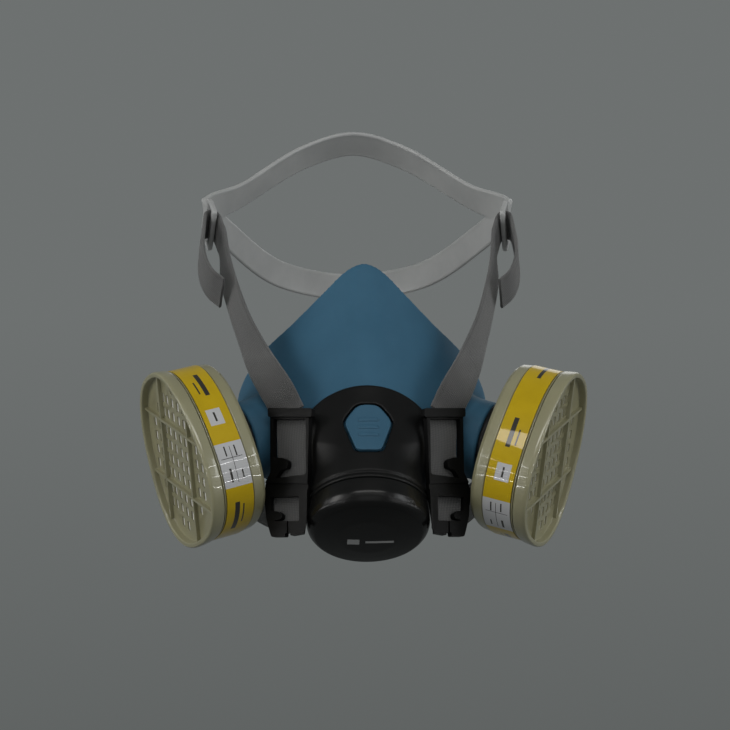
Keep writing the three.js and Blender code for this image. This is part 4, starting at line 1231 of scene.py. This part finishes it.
# ---- Strap yokes ----
def strap_yoke():
    """A frame with two windows, a slit at its foot, a bar across its top and a hook in each window."""
    outline = [
        (12.2, 0), (-11.6, 0), (-11.3, -4), (-11.2, -31), (-14.4, -36), (-15.2, -41), (-14.2, -47),
        (-13.7, -52), (-11.8, -58), (-10.6, -61.2), (-2.6, -60.8), (-2.6, -58.8), (0.4, -58.8),
        (0.4, -60.2), (8.2, -58.8), (9.6, -54), (11.2, -4),
    ]
    body = build(prism(outline, 0, YOKE_THICK, 0.9))
    upper = prism([(9.4, -31.2), (9.4, -5.2), (-9.5, -5.2), (-9.3, -33.6)], -1, 6, 1.3)
    lower = prism([(5.4, -53.2), (5.4, -41.7), (-11.2, -42.6), (-10.9, -53.8)], -1, 6, 1.1)
    slit = block((-1.6, -66, -1), (-0.8, -53, 6))
    step = block((-20, -38.2, YOKE_THICK - 0.7), (20, -35.8, 6))
    cut(body, upper, lower, slit, step)
    top_bar = prism([(13.4, -4.4), (13.4, -0.2), (-11.9, -0.2), (-11.9, -4.4)], 0.8, YOKE_THICK + 1.1, 0.9)
    upper_hook = [
        (-10, -23.6), (-4, -23.7), (-0.9, -25), (-1.1, -28.6), (-5.2, -29.4), (-8.2, -33.6), (-10, -34),
    ]
    lower_hook = [
        (-12, -48.8), (-6.6, -49.1), (-4.2, -50.6), (-5, -52.8), (-8.4, -53.2), (-9.2, -55), (-12, -55),
    ]
    joined(body, top_bar, *(prism(hook, 0, YOKE_THICK, 1.9) for hook in (upper_hook, lower_hook)))
    moved_object(body, YOKE)
    cut(body, moved(drum_cone(GAP, -90, 20), SNOUT))
    return bevelled(body, 0.4, 3, 35)


show_pair(strap_yoke(), "yoke", MASK_BODIES, YOKE_BLACK)


# ---- Straps ----
def ribbon(points, acrosses, width, thick, share=(0, 1)):
    """A flat strap along points, with its width's direction at each. share is the part of it that is made."""
    rough = spline(points, np.linspace(0, 1, 400))
    travelled = np.concatenate([[0], np.cumsum(np.linalg.norm(np.diff(rough, axis=0), axis=1))])
    first, last = np.array(share) * travelled[-1]
    distance = np.linspace(first, last, int((last - first) / STRAP_STEP) + 2)
    at = np.interp(distance, travelled, np.linspace(0, 1, 400))
    line = spline(points, at)
    along = unit(np.gradient(line, axis=0))
    across = spline(acrosses, at)
    across = unit(across - along * (across * along).sum(axis=1, keepdims=True))
    face = np.cross(across, along)
    section = strap_section(width, thick)
    rings = line[:, None] + across[:, None] * section[None, :, :1] + face[:, None] * section[None, :, 1:]
    obj = build(skin(rings))
    corners = rings.reshape(-1, 3)
    order = [np.argmin(((corners - place) ** 2).sum(axis=1)) for place in points_of(obj)]
    weave = [np.tile(section[:, 0], len(line)), np.repeat(distance, len(section)), np.zeros(len(corners))]
    lay_out(obj, "weave", np.column_stack(weave)[order])
    obj["length"] = last - first
    return obj


def strap_section(width, thick):
    """A strap's section as (across, out) points: two faces, rounded edges and a fuller selvedge."""
    half, deep = width / 2, thick / 2
    spots = np.linspace(-half + deep, half - deep, 15)
    fuller = 1 + 0.16 * (np.abs(spots) > half - 2)
    edge = [(half - deep + deep * math.sin(a), deep * math.cos(a)) for a in np.radians((45, 90, 135))]
    top = np.column_stack([spots, deep * fuller])
    low = np.column_stack([spots[::-1], -deep * fuller])
    return np.vstack([top, edge, low, -np.array(edge)])


def on_yoke(x, y, z):
    return to_part((x, y, z), YOKE)


def across_of(points, facings):
    """The direction of a strap's width at each point from the way its face looks."""
    along = np.gradient(np.asarray(points, float), axis=0)
    return unit(np.cross(unit(along), facings))


BEHIND_YOKE = -STRAP_THICK / 2 - 0.45

# Up over the cheek and temple to the cradle's buckle: each point and the way the strap's face looks there.
UPPER_STRAP = np.array([
    (on_yoke(-2.6, -3.4, BEHIND_YOKE), yoke_face),
    (on_yoke(-4.8, 0.4, BEHIND_YOKE), yoke_face),
    ((-41.4, -30.6, 3.0), (-0.62, -0.76, 0.2)),
    ((-45.4, -25.2, 9.4), (-0.68, -0.7, 0.2)),
    ((-51.4, -9.6, 19.5), (-0.8, -0.58, 0.18)),
    ((-58.3, 9, 35), (-0.93, -0.36, 0.1)),
    ((-63.8, 27, 50.5), (-0.96, -0.28, 0.1)),
    ((-68.2, 45, 66), (-0.96, -0.24, 0.1)),
    (to_part((0, -12, -3.1), BUCKLE), BUCKLE[:3, 2]),
])
# The fold over the buckle's bar and the loose tail below it, as (along, out) in the buckle's frame.
FOLD = [
    (-8, -3.1), (1, -3), (3.9, -2), (4.9, 0.3), (3.6, 2.9), (0, 4.4),
    (-10, 7.2), (-24, 10.8), (-38, 12.4), (-49, 11.2), (-57, 7.4),
]
# From behind the yoke round the neck, again with the way the face looks.
NECK_STRAP = np.array([
    (on_yoke(3, -49, -3.4), yoke_face),
    (on_yoke(-4, -49.6, -3.7), yoke_face),
    ((-39.6, -35.6, -52.6), (-0.9, -0.42, 0)),
    ((-43.5, -25, -52.3), (-0.94, -0.33, 0)),
    ((-50, -5, -50.4), (-0.95, -0.3, 0)),
    ((-57, 18, -46.8), (-0.97, -0.24, 0)),
    ((-62, 42, -41.6), (-1, -0.08, 0)),
    ((-62.5, 68, -35.5), (-0.99, 0.12, 0)),
    ((-55, 97, -29.5), (-0.87, 0.5, 0)),
    ((-38, 120, -25.5), (-0.6, 0.8, 0)),
])
# Round the clasp's bar and back on the inside, standing upright: x, y and the drop below CLASP_Z.
CLASP_FOLD = [
    (-25, 130.6, 0.2), (-14.6, 134.4, 0), (-10.4, 133.9, 0), (-9.5, 131, 0),
    (-10.8, 127.8, 0), (-16, 126.9, 0), (-24, 125, 0.2), (-32, 120.6, 0.7),
]
NECK_SPLIT = 0.5  # the share of the neck strap's length where its front piece meets its rear piece


def declare_strap(obj, name, nodes):
    place_piece(obj, name, WEBBING, nodes, crease=60)
    return obj


def bend(strap):
    """Bakes a strap's placement into its mesh."""
    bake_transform(strap)


inner_line = [on_yoke(x, y, BEHIND_YOKE) for x, y in (
    (-1.9, -2.4), (-0.9, -12), (-0.6, -22), (-1.2, -33), (-2.6, -43), (-3.1, -50), (-3.1, -57.5),
)]
inner_strap = ribbon(inner_line, [YOKE_ACROSS] * len(inner_line), STRAP_WIDTH, STRAP_THICK)

fold_points = to_part([(0, along, out) for along, out in FOLD], BUCKLE)
upper_line = np.vstack([UPPER_STRAP[:, 0], fold_points])
upper_across = np.vstack([across_of(UPPER_STRAP[:, 0], UPPER_STRAP[:, 1]), [buckle_across] * len(FOLD)])
upper_strap = ribbon(upper_line, upper_across, STRAP_WIDTH, STRAP_THICK)

neck_line = np.vstack([NECK_STRAP[:, 0], [(x, y, CLASP_Z - drop) for x, y, drop in CLASP_FOLD]])
neck_across = np.vstack([across_of(NECK_STRAP[:, 0], NECK_STRAP[:, 1]), [(0, 0, 1)] * len(CLASP_FOLD)])
neck_front = ribbon(neck_line, neck_across, STRAP_WIDTH, STRAP_THICK, (0, NECK_SPLIT))
neck_rear = ribbon(neck_line, neck_across, STRAP_WIDTH, STRAP_THICK, (NECK_SPLIT, 1))

left_straps = [inner_strap, upper_strap, neck_front, neck_rear]
right_straps = [mirror_copy(strap) for strap in left_straps]
for side, straps, way in (("left", left_straps, 1), ("right", right_straps, -1)):
    inner, upper, front, rear = straps
    yoke, inner_name = f"{side}_yoke_shape", f"{side}_strap_in_yoke"
    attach(declare_strap(inner, inner_name + "_web", [inner_name]), "mask")
    declare_strap(upper, f"{side}_upper_strap_web", [f"{side}_upper_strap"])
    bend(upper)
    declare_strap(front, f"{side}_neck_strap_web", [f"{side}_neck_strap"])
    bend(front)
    declare_strap(rear, f"{side}_neck_strap_end_web", [f"{side}_neck_strap"])
    if side == "left":
        bend(rear)
    else:
        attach(rear, "neck_harness")


# ---- Head cradle and neck clasp ----
def over_head(around, up, lift):
    """A point lifted off the head, by its turn from straight ahead and its rise, and the way out there."""
    way = heading(math.radians(around), math.radians(up))
    normal = unit(way / HEAD_RADII)
    return HEAD_CENTRE + way * HEAD_RADII + normal * lift, normal


# The bands' stations from the left buckle to the back of the head: the turn and the rise, in degrees.
UPPER_BAND = [(112, 30), (150, 46), (180, 52)]
LOWER_BAND = [(112, 18), (150, 8), (180, 5)]


def cradle_band(stations, width):
    """One band from buckle to buckle round the back of the head."""
    found = [over_head(around, up, 2.4) for around, up in stations]
    points = [to_part((0, 10.4, 0), BUCKLE), to_part((0, 17, -0.6), BUCKLE), *(p for p, _ in found)]
    faces = [BUCKLE[:3, 2], BUCKLE[:3, 2], *(n for _, n in found)]
    flip = np.array((-1, 1, 1))
    points += [p * flip for p in points[-2::-1]]
    faces += [f * flip for f in faces[-2::-1]]
    return ribbon(points, across_of(points, faces), width, CRADLE_WALL)


def buckle_end():
    """The plate at the cradle's end, with the slot that the strap folds through."""
    outline = [(-12.5, -2.4), (12.5, -2.4), (12.5, 10), (8, 15), (-8, 15), (-12.5, 10)]
    plate = cut(build(prism(outline, -1.3, 1.3, 2)), block((-10.4, 1.2, -3), (10.4, 9.4, 3), 1))
    return moved_object(plate, BUCKLE)


def head_cradle():
    """Two bands between two buckle plates, fused into one moulding."""
    upper = cradle_band(UPPER_BAND, 17)
    lower = cradle_band(LOWER_BAND, 15)
    end = buckle_end()
    return fused(joined(upper, lower, mirror_copy(end), end), COVER_VOXEL, 8)


def clasp_half(low, high, slot_at, tongue):
    """A block from low to high across the neck, with a tongue or its pocket and a slot for the strap."""
    body = build(block((low, -2.6, -11.5), (high, 2.6, 11.5)))
    if tongue:
        joined(body, block((-3, -1.1, -4.6), (6, 1.1, 4.6)))
    else:
        cut(body, block((-3, -1.5, -5), (7, 1.5, 5)))
    cut(body, block((slot_at, -4, -9.6), (slot_at + 3, 4, 9.6)))
    return moved_object(bevelled(body, 0.5), CLASP)


show(head_cradle(), "head_cradle", "cradle", LIGHT, crease=60)
show(clasp_half(-13, -2.1, -10.8, True), "clasp_tongue", "clasp_tongue", BLACK)
show(clasp_half(-1.7, 14, 8.8, False), "clasp_socket", "neck_harness", BLACK)
